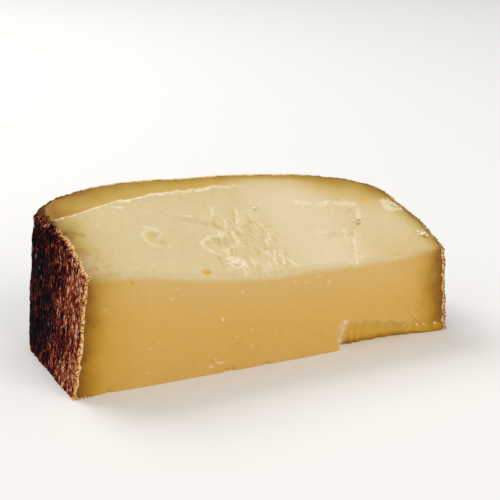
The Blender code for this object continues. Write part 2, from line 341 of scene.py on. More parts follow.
DARK_STROKES = [
    (62.3, 31.5, 59.2, 23.8, 0.42), (58.5, 28.1, 57.5, 23.0, 0.4), (52.6, 23.8, 53.4, 20.4, 0.5),
    (48.0, 16.5, 51.4, 16.3, 0.5), (52.5, 11.9, 50.4, 7.2, 0.5), (54.8, 6.6, 54.9, 2.0, 0.4),
    (58.2, 15.4, 58.2, 12.4, 0.5), (57.2, 20.6, 58.0, 18.1, 0.9), (66.6, 20.7, 63.2, 11.0, 0.5),
    (66.5, 10.1, 63.7, 3.6, 0.42), (65.6, 6.3, 64.3, 3.1, 0.4), (68.3, 8.8, 67.5, 6.9, 0.4),
    (61.9, 3.0, 61.0, 0.4, 0.4), (62.7, 6.9, 62.3, 5.1, 0.4), (57.8, 9.4, 57.5, 7.6, 0.4),
    (60.4, 10.2, 60.4, 7.8, 0.45), (55.4, 9.7, 54.9, 7.9, 0.4), (46.6, 7.4, 46.2, 3.2, 0.5),
    (93.6, 14.1, 91.6, 9.6, 0.4), (91.6, 9.6, 89.8, 6.1, 0.4), (90.4, 6.0, 90.2, 3.3, 0.5),
]
STROKE_RIDGE = 0.08
STROKE_GROOVE = 0.16
STROKE_WANDER = 0.5
STROKE_REACH = 3.0
FILLERS = 26

random.seed(5)
for number in range(FILLERS):
    filler_x, filler_y = random.uniform(50.0, 69.0), random.uniform(4.0, 30.0)
    length, slant = random.uniform(2.0, 6.0), random.uniform(-0.35, 0.25)
    filler = (filler_x, filler_y, filler_x + slant * length, filler_y - length, random.uniform(0.3, 0.5))
    (PALE_STROKES if number % 2 else DARK_STROKES).append(filler)


def in_stroke(x, y, strokes):
    """How far a point lies inside the nearest stroke, from 0 to 1."""
    best = 0.0
    for start_x, start_y, end_x, end_y, half in strokes:
        reach = STROKE_REACH * half
        if not min(start_x, end_x) - reach < x < max(start_x, end_x) + reach:
            continue
        if not min(start_y, end_y) - reach < y < max(start_y, end_y) + reach:
            continue
        gap = beside_path(x, y, ((start_x, start_y), (end_x, end_y)))[0]
        best = max(best, bell(gap, half))
    return best


@functools.lru_cache(maxsize=None)
def stroke_shares(x, y):
    """How much of a pale ridge and of a dark groove lies at a point. Both are ragged and broken."""
    aside_x = x + STROKE_WANDER * waves(x, y, 1.4, 51.0)
    whole = min(1.0, max(0.0, 0.75 + 1.1 * waves(x, y, 1.1, 52.0)))
    return whole * in_stroke(aside_x, y, PALE_STROKES), whole * in_stroke(aside_x, y, DARK_STROKES)


print("strokes:", len(PALE_STROKES), "pale and", len(DARK_STROKES), "dark")

# %% Shell-shaped scars
LEFT_SCAR = ((37.0, 29.0), (46.5, 26.0), (52.0, 24.0), (53.6, 20.5), (51.8, 16.8))
RIGHT_SCAR = ((82.0, 15.6), (89.0, 15.4), (93.2, 13.6), (92.6, 10.0), (90.4, 6.4))
SCAR_STEP = 0.8
SCAR_REACH = 9.0
SCAR_SOFT = 1.8
SCAR_FADE = 0.15


def scar_relief(x, y, path):
    """A smooth shallow hollow that ends in a step along the path."""
    gap, right, along = beside_path(x, y, path)
    if not right:
        return 0.0
    ends = smooth(0.0, SCAR_FADE, along) * smooth(0.0, SCAR_FADE, 1.0 - along)
    return -SCAR_STEP * ends * smooth(0.0, SCAR_SOFT, gap) * (1.0 - smooth(0.0, SCAR_REACH, gap))


print("the left scar is", round(-scar_relief(46.0, 24.4, LEFT_SCAR), 2), "mm deep near its edge")

# %% Cracks: each has a path, a depth, a width, and how dark painted shade makes its bottom
CRACKS = {
    "long": (((99.5, 24.0), (97.6, 18.6), (93.4, 11.6), (89.8, 5.0), (87.2, -1.0)), 0.7, 1.2, 0.35),
    "by the left rind": (((-3.0, 21.0), (1.6, 20.9), (4.4, 20.4), (6.6, 18.9)), 0.9, 0.5, 0.9),
    "under the flake": (((45.8, 14.3), (48.6, 12.6), (51.4, 12.4)), 0.3, 0.4, 0.35),
}
FISSURE_WIDTH = 0.42
FISSURE_WANDER = 0.7


def crack_relief(x, y):
    depths = (depth * bell(beside_path(x, y, path)[0], width) for path, depth, width, _ in CRACKS.values())
    return -sum(depths)


def crack_shade(x, y):
    """How much painted shade darkens a crack at a point, from 0 to 1."""
    aside_x = x + FISSURE_WANDER * waves(x, y, 1.8, 41.0)
    aside_y = y + FISSURE_WANDER * waves(x, y, 1.8, 42.0)
    gaps = ((beside_path(aside_x, aside_y, path)[0], shade) for path, _, _, shade in CRACKS.values())
    return max(shade * bell(gap, FISSURE_WIDTH) for gap, shade in gaps)


print("the long crack is", round(-crack_relief(93.4, 11.6), 2), "mm deep")

# %% A lifted flake and a curved bite
SCOOP = (49.6, 14.6)
SCOOP_SIZE = (4.4, 2.5)
SCOOP_DEPTH = 1.2
SCOOP_FLOOR = 0.35
CRESCENT = (31.2, 17.0)
CRESCENT_RADIUS = 2.9
CRESCENT_DEPTH = 1.0
CRESCENT_WIDTH = 0.9
CRESCENT_OPENING = (75.0, 125.0)


def scoop_relief(x, y):
    """The hollow of the lifted flake."""
    off = math.hypot((x - SCOOP[0]) / SCOOP_SIZE[0], (y - SCOOP[1]) / SCOOP_SIZE[1])
    return -SCOOP_DEPTH * (1.0 - smooth(SCOOP_FLOOR, 1.0, off))


def bite_share(x, y, outwards, width):
    """1 on an arc that lies so far outside the curved bite. It fades out towards the bite's opening."""
    across, back = x - CRESCENT[0], y - CRESCENT[1]
    turned = smooth(*CRESCENT_OPENING, abs(math.degrees(math.atan2(back, across))))
    return turned * bell(math.hypot(across, back) - CRESCENT_RADIUS - outwards, width)


def crescent_relief(x, y):
    return -CRESCENT_DEPTH * bite_share(x, y, 0.0, CRESCENT_WIDTH)


print("the bite is", round(-crescent_relief(CRESCENT[0] - CRESCENT_RADIUS, CRESCENT[1]), 2), "mm deep")

# %% Thin flake edges
FLAKE_EDGES = {
    "over the smooth plate": ((44.9, 28.4), (48.6, 27.2), (52.0, 24.6)),
    "plate corner": ((52.0, 24.4), (53.4, 20.4), (52.2, 17.2), (46.6, 15.4)),
    "plate front": ((46.0, 14.6), (48.5, 12.0), (52.0, 9.0), (52.4, 5.4)),
    "behind the tear": ((66.5, 30.2), (71.0, 31.4), (76.0, 33.4), (82.0, 33.2), (87.0, 32.0)),
    "right arch": ((87.0, 32.0), (90.5, 30.6), (94.5, 31.2), (98.0, 33.0), (101.8, 32.3)),
    "above the crack": ((101.8, 32.3), (101.0, 28.0), (99.5, 24.0)),
    "right scar": RIGHT_SCAR,
    "along the crack": CRACKS["long"][0][1:],
}
FLAKE_RIDGE = 0.1
FLAKE_WIDTH = 0.62
FLAKE_WANDER = 1.0
FLAKE_WHOLE = (-0.35, 0.35)


def flake_edge(x, y):
    """1 on the thin raised edges of the flakes, with gaps where they crumbled."""
    aside_x = x + FLAKE_WANDER * waves(x, y, 2.4, 6.2)
    aside_y = y + FLAKE_WANDER * waves(x, y, 2.4, 9.7)
    gap = min(beside_path(aside_x, aside_y, path)[0] for path in FLAKE_EDGES.values())
    return bell(gap, FLAKE_WIDTH) * smooth(*FLAKE_WHOLE, waves(x, y, 3.0, 12.5))


print("flake edges:", len(FLAKE_EDGES))

# %% Crumbly places: middle, half size, depth of the crumbs, and how pale they are
CRUMBLE = {
    "front left corner": ((6.8, 5.2), (5.5, 6.5), 0.16, 0.16),
    "left rind": ((3.6, 20.0), (3.2, 7.0), 0.2, 0.0),
    "front of the tear": ((50.9, 5.2), (3.2, 3.0), 0.26, 0.85),
    "right shoulder": ((115.6, 27.4), (3.6, 4.8), 0.14, 0.6),
    "right end": ((115.1, 7.8), (1.5, 1.7), 0.05, 1.0),
}
CRUMBLE_RAGS = 0.35
CRUMBLE_EDGE = (0.6, 1.15)
CRUMB_LENGTH = 1.5
FINE_CRUMB_LENGTH = 0.8


def crumble(x, y):
    """How deep and how pale the crumbs are at a point of the upper cut."""
    deepest, palest = 0.0, 0.0
    for (middle_x, middle_y), (half_x, half_y), depth, pale in CRUMBLE.values():
        off = math.hypot((x - middle_x) / half_x, (y - middle_y) / half_y)
        share = 1.0 - smooth(*CRUMBLE_EDGE, off + CRUMBLE_RAGS * waves(x, y, 2.6, 3.9))
        deepest, palest = max(deepest, share * depth), max(palest, share * pale)
    return deepest, palest


def crumb_grains(x, y):
    """The larger crumbs, from -1 to 1."""
    return ridges(x / CRUMB_LENGTH, y / CRUMB_LENGTH, 22.0)


def crumb_relief(x, y):
    """The grainy break of aged paste."""
    even = 0.025 * waves(x, y, 0.9, 20.0) + 0.05 * waves(x, y, 2.7, 21.0)
    fine_grains = ridges(x / FINE_CRUMB_LENGTH, y / FINE_CRUMB_LENGTH, 23.0)
    return even + 0.6 * crumble(x, y)[0] * (crumb_grains(x, y) + 0.6 * fine_grains)


print("crumbs before the tear:", [round(value, 2) for value in crumble(51.6, 5.4)])

# %% The whole upper cut
SWELL = 0.5
SWELL_LENGTH = 21.0


@functools.lru_cache(maxsize=None)
def upper_height(x, y):
    """Height of the upper cut above the base: an even slope, and what stands out of it or is sunk in it."""
    height = nose_height(x) + (rim_height(x) - nose_height(x)) * depth_share(x, y)
    height += SWELL * waves(x, y, SWELL_LENGTH, 0.0)
    height += band_relief(x, y) + tear_relief(x, y)
    height += scar_relief(x, y, LEFT_SCAR) + scar_relief(x, y, RIGHT_SCAR)
    height += crack_relief(x, y) + scoop_relief(x, y) + crescent_relief(x, y)
    ridge, groove = stroke_shares(x, y)
    height += STROKE_RIDGE * ridge - STROKE_GROOVE * groove
    return height + FLAKE_RIDGE * flake_edge(x, y) + crumb_relief(x, y)


print("upper cut at the middle:", round(upper_height(60.0, 25.0), 2), "mm high")

# %% [markdown]
# ## The nose cut and the broken edge
# A sharp knife left the nose cut smooth, with a soft pale lip on top. At the right its lower edge broke
# away, and the break shows upright ripples and a steep wall at its left end.

# %% The broken lower edge
CHIP_START = 82.4
CHIP_END = 119.0
CHIP_HEIGHT = 9.0
CHIP_HEIGHT_END = 3.0
CHIP_DEPTH = 3.6
CHIP_CLIFF = 0.04
CHIP_RUNOUT = 0.45
CHIP_ROUND = 0.7
CHIP_RIPPLE = 0.4
CHIP_PITCH = 5.2
CHIP_SWAY = 6.0
CHIP_ROUGH = 0.2
CHIP_BULGE = 1.2
CHIP_BULGE_AT = 4.4
CHIP_BULGE_HEIGHT = 2.4
CHIP_WANDER = 0.8
CHIP_CRAGS = 1.1


def chip_share(x, z):
    """How much lies below the edge of the break, from 0 on it to 1 at the base."""
    bulge = CHIP_BULGE * bell(z - CHIP_BULGE_AT, CHIP_BULGE_HEIGHT) + CHIP_WANDER * waves(x, z, 2.6, 44.0)
    along = (x + bulge - CHIP_START) / (CHIP_END - CHIP_START)
    if not 0.0 < along < 1.0:
        return 0.0
    height = CHIP_HEIGHT + (CHIP_HEIGHT_END - CHIP_HEIGHT) * along + CHIP_CRAGS * waves(x, 0.0, 2.9, 14.0)
    height *= 0.8 + 0.2 * smooth(0.0, 2.0 * CHIP_CLIFF, along)
    return max(0.0, 1.0 - z / height) * smooth(0.0, CHIP_CLIFF, along)


def chip_depth(x, z):
    """How far the lower edge of the nose cut is broken back."""
    below = chip_share(x, z)
    if below == 0.0:
        return 0.0
    along = (x - CHIP_START) / (CHIP_END - CHIP_START)
    turn = (x - CHIP_START + CHIP_SWAY * waves(x, 0.4 * z, 6.0, 43.0)) / CHIP_PITCH
    ripple = CHIP_RIPPLE * (1.0 - along) * math.cos(2.0 * math.pi * turn)
    rough = CHIP_ROUGH * (waves(x, 0.6 * z, 2.2, 15.0) + 0.4 * ridges(x / 2.6, z / 5.0, 16.0))
    return (CHIP_DEPTH * (1.0 - smooth(CHIP_RUNOUT, 1.0, along)) + ripple + rough) * below**CHIP_ROUND


print("the break is", round(chip_depth(88.0, 0.0), 1), "mm deep at the base")

# %% The nose cut
NOSE_BELLY = 0.9
NOSE_SWELL = 0.25
NOSE_SWELL_LENGTH = 12.0
NOSE_TEXTURE = 0.03
NOSE_SKIN = 0.12
NOTCHES = ((46.6, 0.9, 1.2), (44.9, 0.6, 0.8), (9.4, 0.7, 0.9), (57.5, 0.8, 0.6))
NOTCH_DEPTH = 0.9


def notch_depth(x, z):
    """Small bites out of the lower edge."""
    return sum(NOTCH_DEPTH * bell(x - at, wide) * bell(z, high) for at, wide, high in NOTCHES)


def nose_relief(x, z):
    """How far the nose cut lies behind its plane."""
    swell = NOSE_SWELL * waves(x, z, NOSE_SWELL_LENGTH, 7.5) + NOSE_TEXTURE * waves(x, z, 2.2, 17.0)
    return swell - NOSE_BELLY * math.sin(math.pi * x / WHEEL_HEIGHT) + chip_depth(x, z) + notch_depth(x, z)


print("the nose cut is", round(-nose_relief(60.0, 15.0), 2), "mm fuller in its middle")

# %% [markdown]
# ## The two ends and the rim
# The wheel's flat faces lean in a little, since the wheel sagged while it aged, and the upper edge of the
# left one has crumbled back. Corners between a flat face and the rim are round. The whole skin is grooved
# and lumpy, and the paste near it follows, so that the rind keeps an even thickness.

# %% Ends and corners
LEFT_FOOT = -1.2
LEFT_LEAN = 0.155
LEFT_LEAN_BACK = 0.045
LEAN_TURN = 1.4
RIGHT_FOOT = 120.5
RIGHT_LEAN = 0.08
RIGHT_BELLY = 2.4
BELLY_DEPTH = 46.0
BELLY_HEIGHT = 35.0
RIND_WEAR = 1.8
WEAR_HEIGHT = 2.6
WEAR_DEPTH = 30.0


def left_end(y, z, top):
    """Where the left flat face is: it leans in, and its upper edge has crumbled."""
    lean = LEFT_LEAN + (LEFT_LEAN_BACK - LEFT_LEAN) * smooth(0.0, RIM_DEPTH, LEAN_TURN * y)
    wear = RIND_WEAR * smooth(0.0, WEAR_DEPTH, y) * smooth(top - WEAR_HEIGHT, top, z)
    return LEFT_FOOT + lean * z + wear


def right_end(y, z):
    """Where the right flat face is: it leans in, and swells half way back."""
    belly = RIGHT_BELLY * math.sin(math.pi * min(1.0, max(0.0, y / BELLY_DEPTH)))
    return RIGHT_FOOT - RIGHT_LEAN * z + belly * z / BELLY_HEIGHT


def rounded_corner(x, y, centre_x, centre_y, outward):
    """Draws a square corner in to a round one. outward is -1 for a corner at the left, 1 at the right."""
    across = (x - centre_x) * outward
    back = y - centre_y
    if across <= 0.0 or back <= 0.0:
        return x, y
    pull = max(across, back) / math.hypot(across, back)
    return centre_x + outward * across * pull, centre_y + back * pull


print("length at the base:", round(right_end(0.0, 0.0) - left_end(0.0, 0.0, 30.0), 1), "mm")

# %% Grooves and lumps of the skin
RIND_RELIEF = 0.45
RIND_PITCH = 5.0
RIND_LENGTH = 19.0
RIND_LUMPS = 0.36
LUMP_LENGTH = 8.5
SKIN_REACH = 6.0


def rind_gap(column, row):
    """Distance of a grid point from the outside of the nearest rind."""
    return min(column, WHEEL_HEIGHT - column, RIM_DEPTH * (1.0 - row))


def way_out(column, row):
    """The level direction out of the rind."""
    across = max(0.0, column - WHEEL_HEIGHT + RIGHT_CORNER) - max(0.0, LEFT_CORNER - column)
    corner = RIGHT_CORNER if column > WHEEL_HEIGHT / 2 else LEFT_CORNER
    back = max(0.0, row * RIM_DEPTH - RIM_DEPTH + corner)
    return Vector((across, back, 0.0)).normalized()


def rind_relief(place):
    """How far the skin stands out: long upright grooves, and lumps."""
    upright = Vector((1.0 / RIND_PITCH, 1.0 / RIND_PITCH, 1.0 / RIND_LENGTH))
    return RIND_RELIEF * noise.noise(place * upright) + RIND_LUMPS * noise.noise(place / LUMP_LENGTH)


print("the way out at the left:", tuple(way_out(0.0, 0.5)))

# %% The map from grid to cheese
LIP_RADIUS = 1.15
LIP_SWAY = 0.5


def cheese_point(column, row, layer, sink=0.0):
    """Place of a grid point: column in millimetres, row and layer as shares, sink under the upper cut."""
    x, y = rounded_corner(column, row * RIM_DEPTH, LEFT_CORNER, RIM_DEPTH - LEFT_CORNER, -1.0)
    x, y = rounded_corner(x, y, WHEEL_HEIGHT - RIGHT_CORNER, RIM_DEPTH - RIGHT_CORNER, 1.0)
    y *= rim_depth(x) / RIM_DEPTH
    lean_share = row**2
    top = upper_height(x, y - lean_share * rim_lean(rim_height(x))) - sink
    z = layer * top
    y -= lean_share * rim_lean(z)
    share = x / WHEEL_HEIGHT
    x = left_end(y, z, top) * (1.0 - share) + right_end(y, z) * share
    lip = LIP_RADIUS * (1.0 + LIP_SWAY * waves(x, 0.0, 5.5, 18.0))
    y, z = rounded_corner(y, z, lip, top - lip, -1.0)
    y += nose_relief(x, z) * (1.0 - smooth(0.0, NOSE_SKIN, row))
    place = Vector((x, y, z))
    skin = 1.0 - smooth(0.0, SKIN_REACH, rind_gap(column, row))
    return place + way_out(column, row) * skin * rind_relief(place)


print("middle of the upper cut:", [round(value, 1) for value in cheese_point(60.0, 0.5, 1.0)])

# %% [markdown]
# ## A grid to shape
# Both pieces begin as plain bricks in grid space, cut into cells by subdividing their edges one direction
# at a time. Only the faces that will be seen get the finest cells: a uniform grid would need four times
# the faces, and most of them would lie hidden between paste and rind.

# %% Helpers for grids
TINY = 1e-6


def runs_along(edge, axis):
    """True when an edge runs along that axis of grid space."""
    along = edge.verts[1].co - edge.verts[0].co
    return abs(along[axis]) > 0.999 * along.length


def on_plane(part, axis, level):
    """True when every corner of an edge or face lies on a plane of grid space."""
    return all(abs(vert.co[axis] - level) < TINY for vert in part.verts)


def split(bm, edges, cuts):
    bmesh.ops.subdivide_edges(bm, edges=edges, cuts=cuts, use_grid_fill=True)


def refine(bm, wanted, cuts):
    """Splits every edge of the wanted cells."""
    edges = {edge for face in bm.faces if wanted(face) for edge in face.edges}
    split(bm, list(edges), cuts)


print("grid corners count as level within", TINY)

# %% Helpers that shape a grid and turn it into an object


def shape(bm, names, point):
    """Moves every grid point to its place, and keeps the named looks with it."""
    layers = {name: bm.verts.layers.float.new(name) for name in names}
    for vert in bm.verts:
        vert.co, looks = point(*vert.co)
        for name, value in looks.items():
            vert[layers[name]] = value
    bmesh.ops.recalc_face_normals(bm, faces=bm.faces)


def save(bm, name, sharp_angle):
    """A shaped bmesh, in millimetres, as an object of the model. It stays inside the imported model's box."""
    low, high = (corner / MM + MIDDLE for corner in cad_box)
    for vert in bm.verts:
        inside = [min(max(value, a), b) for value, a, b in zip(vert.co, low, high)]
        vert.co = placed(inside)
    open_edges = sum(1 for edge in bm.edges if len(edge.link_faces) != 2)
    for face in bm.faces:
        face.smooth = True
    bmesh.ops.triangulate(bm, faces=[face for face in bm.faces if len(face.verts) > 4])
    mesh = bpy.data.meshes.new(name)
    bm.to_mesh(mesh)
    bm.free()
    mesh.set_sharp_from_angle(angle=math.radians(sharp_angle))
    piece = bpy.data.objects.new(name, mesh)
    bpy.context.scene.collection.objects.link(piece)
    triangles = sum(len(face.vertices) - 2 for face in mesh.polygons)
    print(name, "has", triangles, "triangles and", open_edges, "open edges")
    return piece


print("box to stay in:", [round(value, 4) for value in cad_box[1] - cad_box[0]], "m")

# %% [markdown]
# ## The paste
# The paste fills the inside and reaches a little way under the rind, so no gap can open between them. It
# is finest on the upper cut, and finer still in the torn strip and round the small eyes.

# %% Cells of the paste
PASTE_INSET = 0.75
COLUMN_CELLS = 280
ROW_CELLS = 14
LAYER_CELLS = 8
FINE_ROWS = 9
FINE_LAYERS = 8

paste_bm = bmesh.new()
low_corner = Vector((PASTE_INSET, 0.0, 0.0))
high_corner = Vector((WHEEL_HEIGHT - PASTE_INSET, 1.0 - PASTE_INSET / RIM_DEPTH, 1.0))
brick_size = Matrix.Diagonal((*(high_corner - low_corner), 1.0))
brick_place = Matrix.Translation((low_corner + high_corner) / 2) @ brick_size
bmesh.ops.create_cube(paste_bm, size=1.0, matrix=brick_place)
for axis, cells in enumerate((COLUMN_CELLS, ROW_CELLS, LAYER_CELLS)):
    split(paste_bm, [edge for edge in paste_bm.edges if runs_along(edge, axis)], cells - 1)
upper = [edge for edge in paste_bm.edges if runs_along(edge, 1) and on_plane(edge, 2, 1.0)]
split(paste_bm, upper, FINE_ROWS - 1)
front = [edge for edge in paste_bm.edges if runs_along(edge, 2) and on_plane(edge, 1, 0.0)]
split(paste_bm, front, FINE_LAYERS - 1)
print("paste grid:", len(paste_bm.faces), "cells")

# %% The small eyes: on which cut, the middle, the three radii, and how orange they are
EYES = {
    "edge eye": ("top", (39.8, 1.0), (1.6, 1.1, 0.8), 1.0),
    "corner eye": ("top", (23.6, 0.6), (0.6, 0.6, 0.3), 0.25),
    "deep eye": ("top", (98.9, 18.9), (0.8, 0.8, 0.9), 0.8),
    "rind eye": ("top", (109.0, 32.6), (1.4, 1.2, 0.2), 1.0),
    "flake tip": ("top", (46.3, 14.5), (0.8, 1.0, 0.4), 0.6),
    "nose eye": ("nose", (16.8, 30.8), (0.7, 0.6, 0.75), 0.8),
    "low eye": ("nose", (48.8, 9.4), (0.5, 0.3, 0.5), 0.5),
}
EYE_MARGIN = 1.9


def eye_depth(cut, across, other):
    """How deep a point of a cut lies in an eye, and how orange it is there."""
    for where_cut, (x, level), (half_x, half_y, half_z), orange in EYES.values():
        if where_cut != cut:
            continue
        half, depth = (half_y, half_z) if cut == "top" else (half_z, half_y)
        off = ((across - x) / half_x) ** 2 + ((other - level) / half) ** 2
        if off < 1.0:
            return depth * math.sqrt(1.0 - off), orange * math.sqrt(1.0 - off)
    return 0.0, 0.0


def near_an_eye(face):
    """True for cells of the grid that an eye or its rim reaches."""
    middle = face.calc_center_median()
    for cut, (x, other), _, _ in EYES.values():
        if cut == "top" and (middle.z > 1.0 - TINY or other < EYE_MARGIN and middle.y < TINY):
            gap = math.hypot(middle.x - x, middle.y * RIM_DEPTH - other, (1.0 - middle.z) * NOSE_HEIGHT)
        elif cut == "nose" and middle.y < TINY:
            gap = math.hypot(middle.x - x, middle.z * nose_height(x) - other)
        else:
            continue
        if gap < EYE_MARGIN:
            return True
    return False


print("eyes:", ", ".join(EYES))

# %% Finer cells in the torn strip and round the eyes
TORN_ENOUGH = 0.25


def is_torn(face):
    """True for cells of the upper cut in the torn strip."""
    middle = face.calc_center_median()
    return on_plane(face, 2, 1.0) and tear_share(middle.x, middle.y * RIM_DEPTH) > TORN_ENOUGH


refine(paste_bm, is_torn, 1)
refine(paste_bm, near_an_eye, 2)
print("with the finer places:", len(paste_bm.faces), "cells")

# %% [markdown]
# ## Looks that are kept with the points
# The finish has to know where the paste is pale, dry or dark, and these places follow the form. So each
# point keeps five numbers: its distance from the rind, shortened by painted shade in the cracks and at the
# foot of the break; how much of the pale split face it has, whose paleness is partly painted top light;
# how much of the dry band, which also carries painted shade in the tear's grooves; and how pale or how
# orange it is, which also carries painted light, painted highlights and the painted shade in the bite. A
# finish could find some of them from the coordinates alone, but numbers on the points follow every edge
# exactly.

# %% Marks of the nose cut: middle, half size and strength
NOSE_MARKS = (
    (17.6, 27.4, 0.45, 2.4, 0.1), (43.8, 16.2, 0.42, 0.42, 0.9), (50.1, 23.6, 0.5, 0.4, 0.3),
    (21.1, 4.2, 0.6, 0.3, 0.25), (42.8, 3.2, 1.2, 0.35, 0.5), (40.1, 2.5, 0.8, 0.3, 0.5),
    (41.6, 4.4, 0.7, 0.25, 0.35), (30.6, 27.4, 0.5, 0.4, 0.15), (9.6, 24.6, 0.9, 0.2, 0.1),
    (52.9, 6.4, 0.3, 0.8, 0.2), (66.6, 24.0, 0.6, 0.4, 0.25), (70.3, 23.2, 0.5, 0.5, 0.25),
    (74.6, 24.6, 1.1, 0.3, 0.3), (77.8, 22.0, 0.4, 1.1, 0.2), (48.3, 10.2, 0.7, 0.25, 0.3),
)
MARK_RAGS = 0.3
MARK_EDGE = (0.5, 1.4)


def mark_strength(x, z):
    """Pale marks and specks on the nose cut."""
    best = 0.0
    for middle_x, middle_z, half_x, half_z, strength in NOSE_MARKS:
        off = math.hypot((x - middle_x) / half_x, (z - middle_z) / half_z)
        ragged_off = off + MARK_RAGS * waves(x, z, 0.7, 31.0)
        best = max(best, strength * (1.0 - smooth(*MARK_EDGE, ragged_off)))
    return best


print("marks on the nose cut:", len(NOSE_MARKS))

# %% Looks of the nose cut
LIP_FADE = 2.7
LIP_SHARE = 0.85
TOP_LIGHT_FADE = 17.0
TOP_LIGHT_SHARE = 0.24
RIGHT_END = 95.0
BROKEN_GAP = 15.0
BROKEN_FOOT_SHADE_GAP = 2.4
BROKEN_GOLD = 0.4
BROKEN_SHADE = 0.8
BROKEN_EDGE_HIGHLIGHT = 0.2
BROKEN_EDGE_AT = 0.06
BROKEN_START = (0.02, 0.25)
BROKEN_FOOT = (0.4, 1.0)
RIGHT_GAP = 0.25
WEDGE = 0.85
WEDGE_AT = 83.7
WEDGE_WIDTH = 1.4


def nose_looks(x, z, layer, gap):
    """Looks of a point of the nose cut: pale lip with painted top light fading below it, marks, and the
    darker break with painted shade at its foot, a painted highlight along its upper edge and its pale wedge.
    """
    down = (1.0 - layer) * nose_height(x)
    lip = LIP_SHARE * (1.0 - smooth(0.0, LIP_FADE, down))
    # Painted light: the nose cut turns paler towards its top, where more light falls on it.
    lip += TOP_LIGHT_SHARE * (1.0 - smooth(0.0, TOP_LIGHT_FADE, down))
    gap *= 1.0 - RIGHT_GAP * smooth(RIGHT_END, WHEEL_HEIGHT, x)
    broken = chip_share(x, z)
    deep, edge, wedge = 0.0, 0.0, 0.0
    if broken > 0.0:
        # Painted shade: towards the foot of the break, under its overhang, the paste turns darker brown and
        # less golden.
        foot = smooth(*BROKEN_FOOT, broken)
        gap = min(gap, BROKEN_GAP + (BROKEN_FOOT_SHADE_GAP - BROKEN_GAP) * foot)
        deep = BROKEN_GOLD * smooth(*BROKEN_START, broken) * (0.8 + 0.8 * waves(x, 0.4 * z, 2.4, 36.0))
        deep *= 1.0 - BROKEN_SHADE * foot
        # Painted highlight along the upper edge of the break, broken in places.
        edge = BROKEN_EDGE_HIGHLIGHT * bell(broken - BROKEN_EDGE_AT, BROKEN_EDGE_AT)
        edge *= smooth(-0.2, 0.3, waves(x, z, 1.5, 35.0))
    if z < CHIP_HEIGHT:
        wedge = WEDGE * bell(x - WEDGE_AT, WEDGE_WIDTH) * (0.7 + 0.8 * waves(x, z, 1.1, 30.0))
    pale = max(mark_strength(x, z), edge, wedge)
    return {"rind_gap": gap, "split": min(lip, 1.0), "band": 0.0, "pale": pale, "deep": deep * (1.0 - pale)}


print("pale split face at the lip:", round(nose_looks(60.0, 29.0, 1.0, 20.0)["split"], 2))

# %% Looks of the upper cut
RIM_SHADE = (3.5, 13.0)
RIM_SHADE_RIGHT = 22.0
RIM_SHADE_SWAY = 1.5
RIGHT_SIDE = (80.0, 107.0)
RIGHT_CLEAR = 0.7
LIP_GOLD = 0.35
LIP_GOLD_DEPTH = 13.0
BAND_START = (0.004, 0.03)
CREST_AT = 0.002
CREST_THIN = 0.011
CREST_BROAD = 0.012
CREST_NARROWS = (5.0, 32.0)
CREST_PALE_AND_HIGHLIGHT = 1.0
FLAKE_PALE = 0.6
CRUMB_TOP = (-1.2, 0.1)
THREAD_PALE = 0.2
THREAD_TOP = (0.1, 0.9)
VALLEY_SHADE = 0.2
VALLEY = (0.0, 1.2)
STROKE_PALE = 0.8
STROKE_SHADE = 0.9
# Painted highlight on an arc outside the curved bite, and painted shade in gold on an arc inside it.
BITE_HIGHLIGHT = 0.45
BITE_HIGHLIGHT_PLACE = (0.9, 0.6)
BITE_GOLDEN_SHADE = 0.4
BITE_GOLDEN_SHADE_PLACE = (-0.8, 0.7)
BAND_GAP = (0.38, 1.9)
BAND_GAP_REACH = 62.0
BAND_GAP_RIGHT = 0.8
CRACK_PAINTED_SHADE = 0.85
# Painted light: the upper cut paler right of its middle, away from the rind.
PAINTED_LIGHT_RIGHT = 0.26
PAINTED_LIGHT_FROM = (62.0, 78.0)
PAINTED_LIGHT_TO = (86.0, 100.0)
PAINTED_LIGHT_INSIDE = (4.0, 12.0)


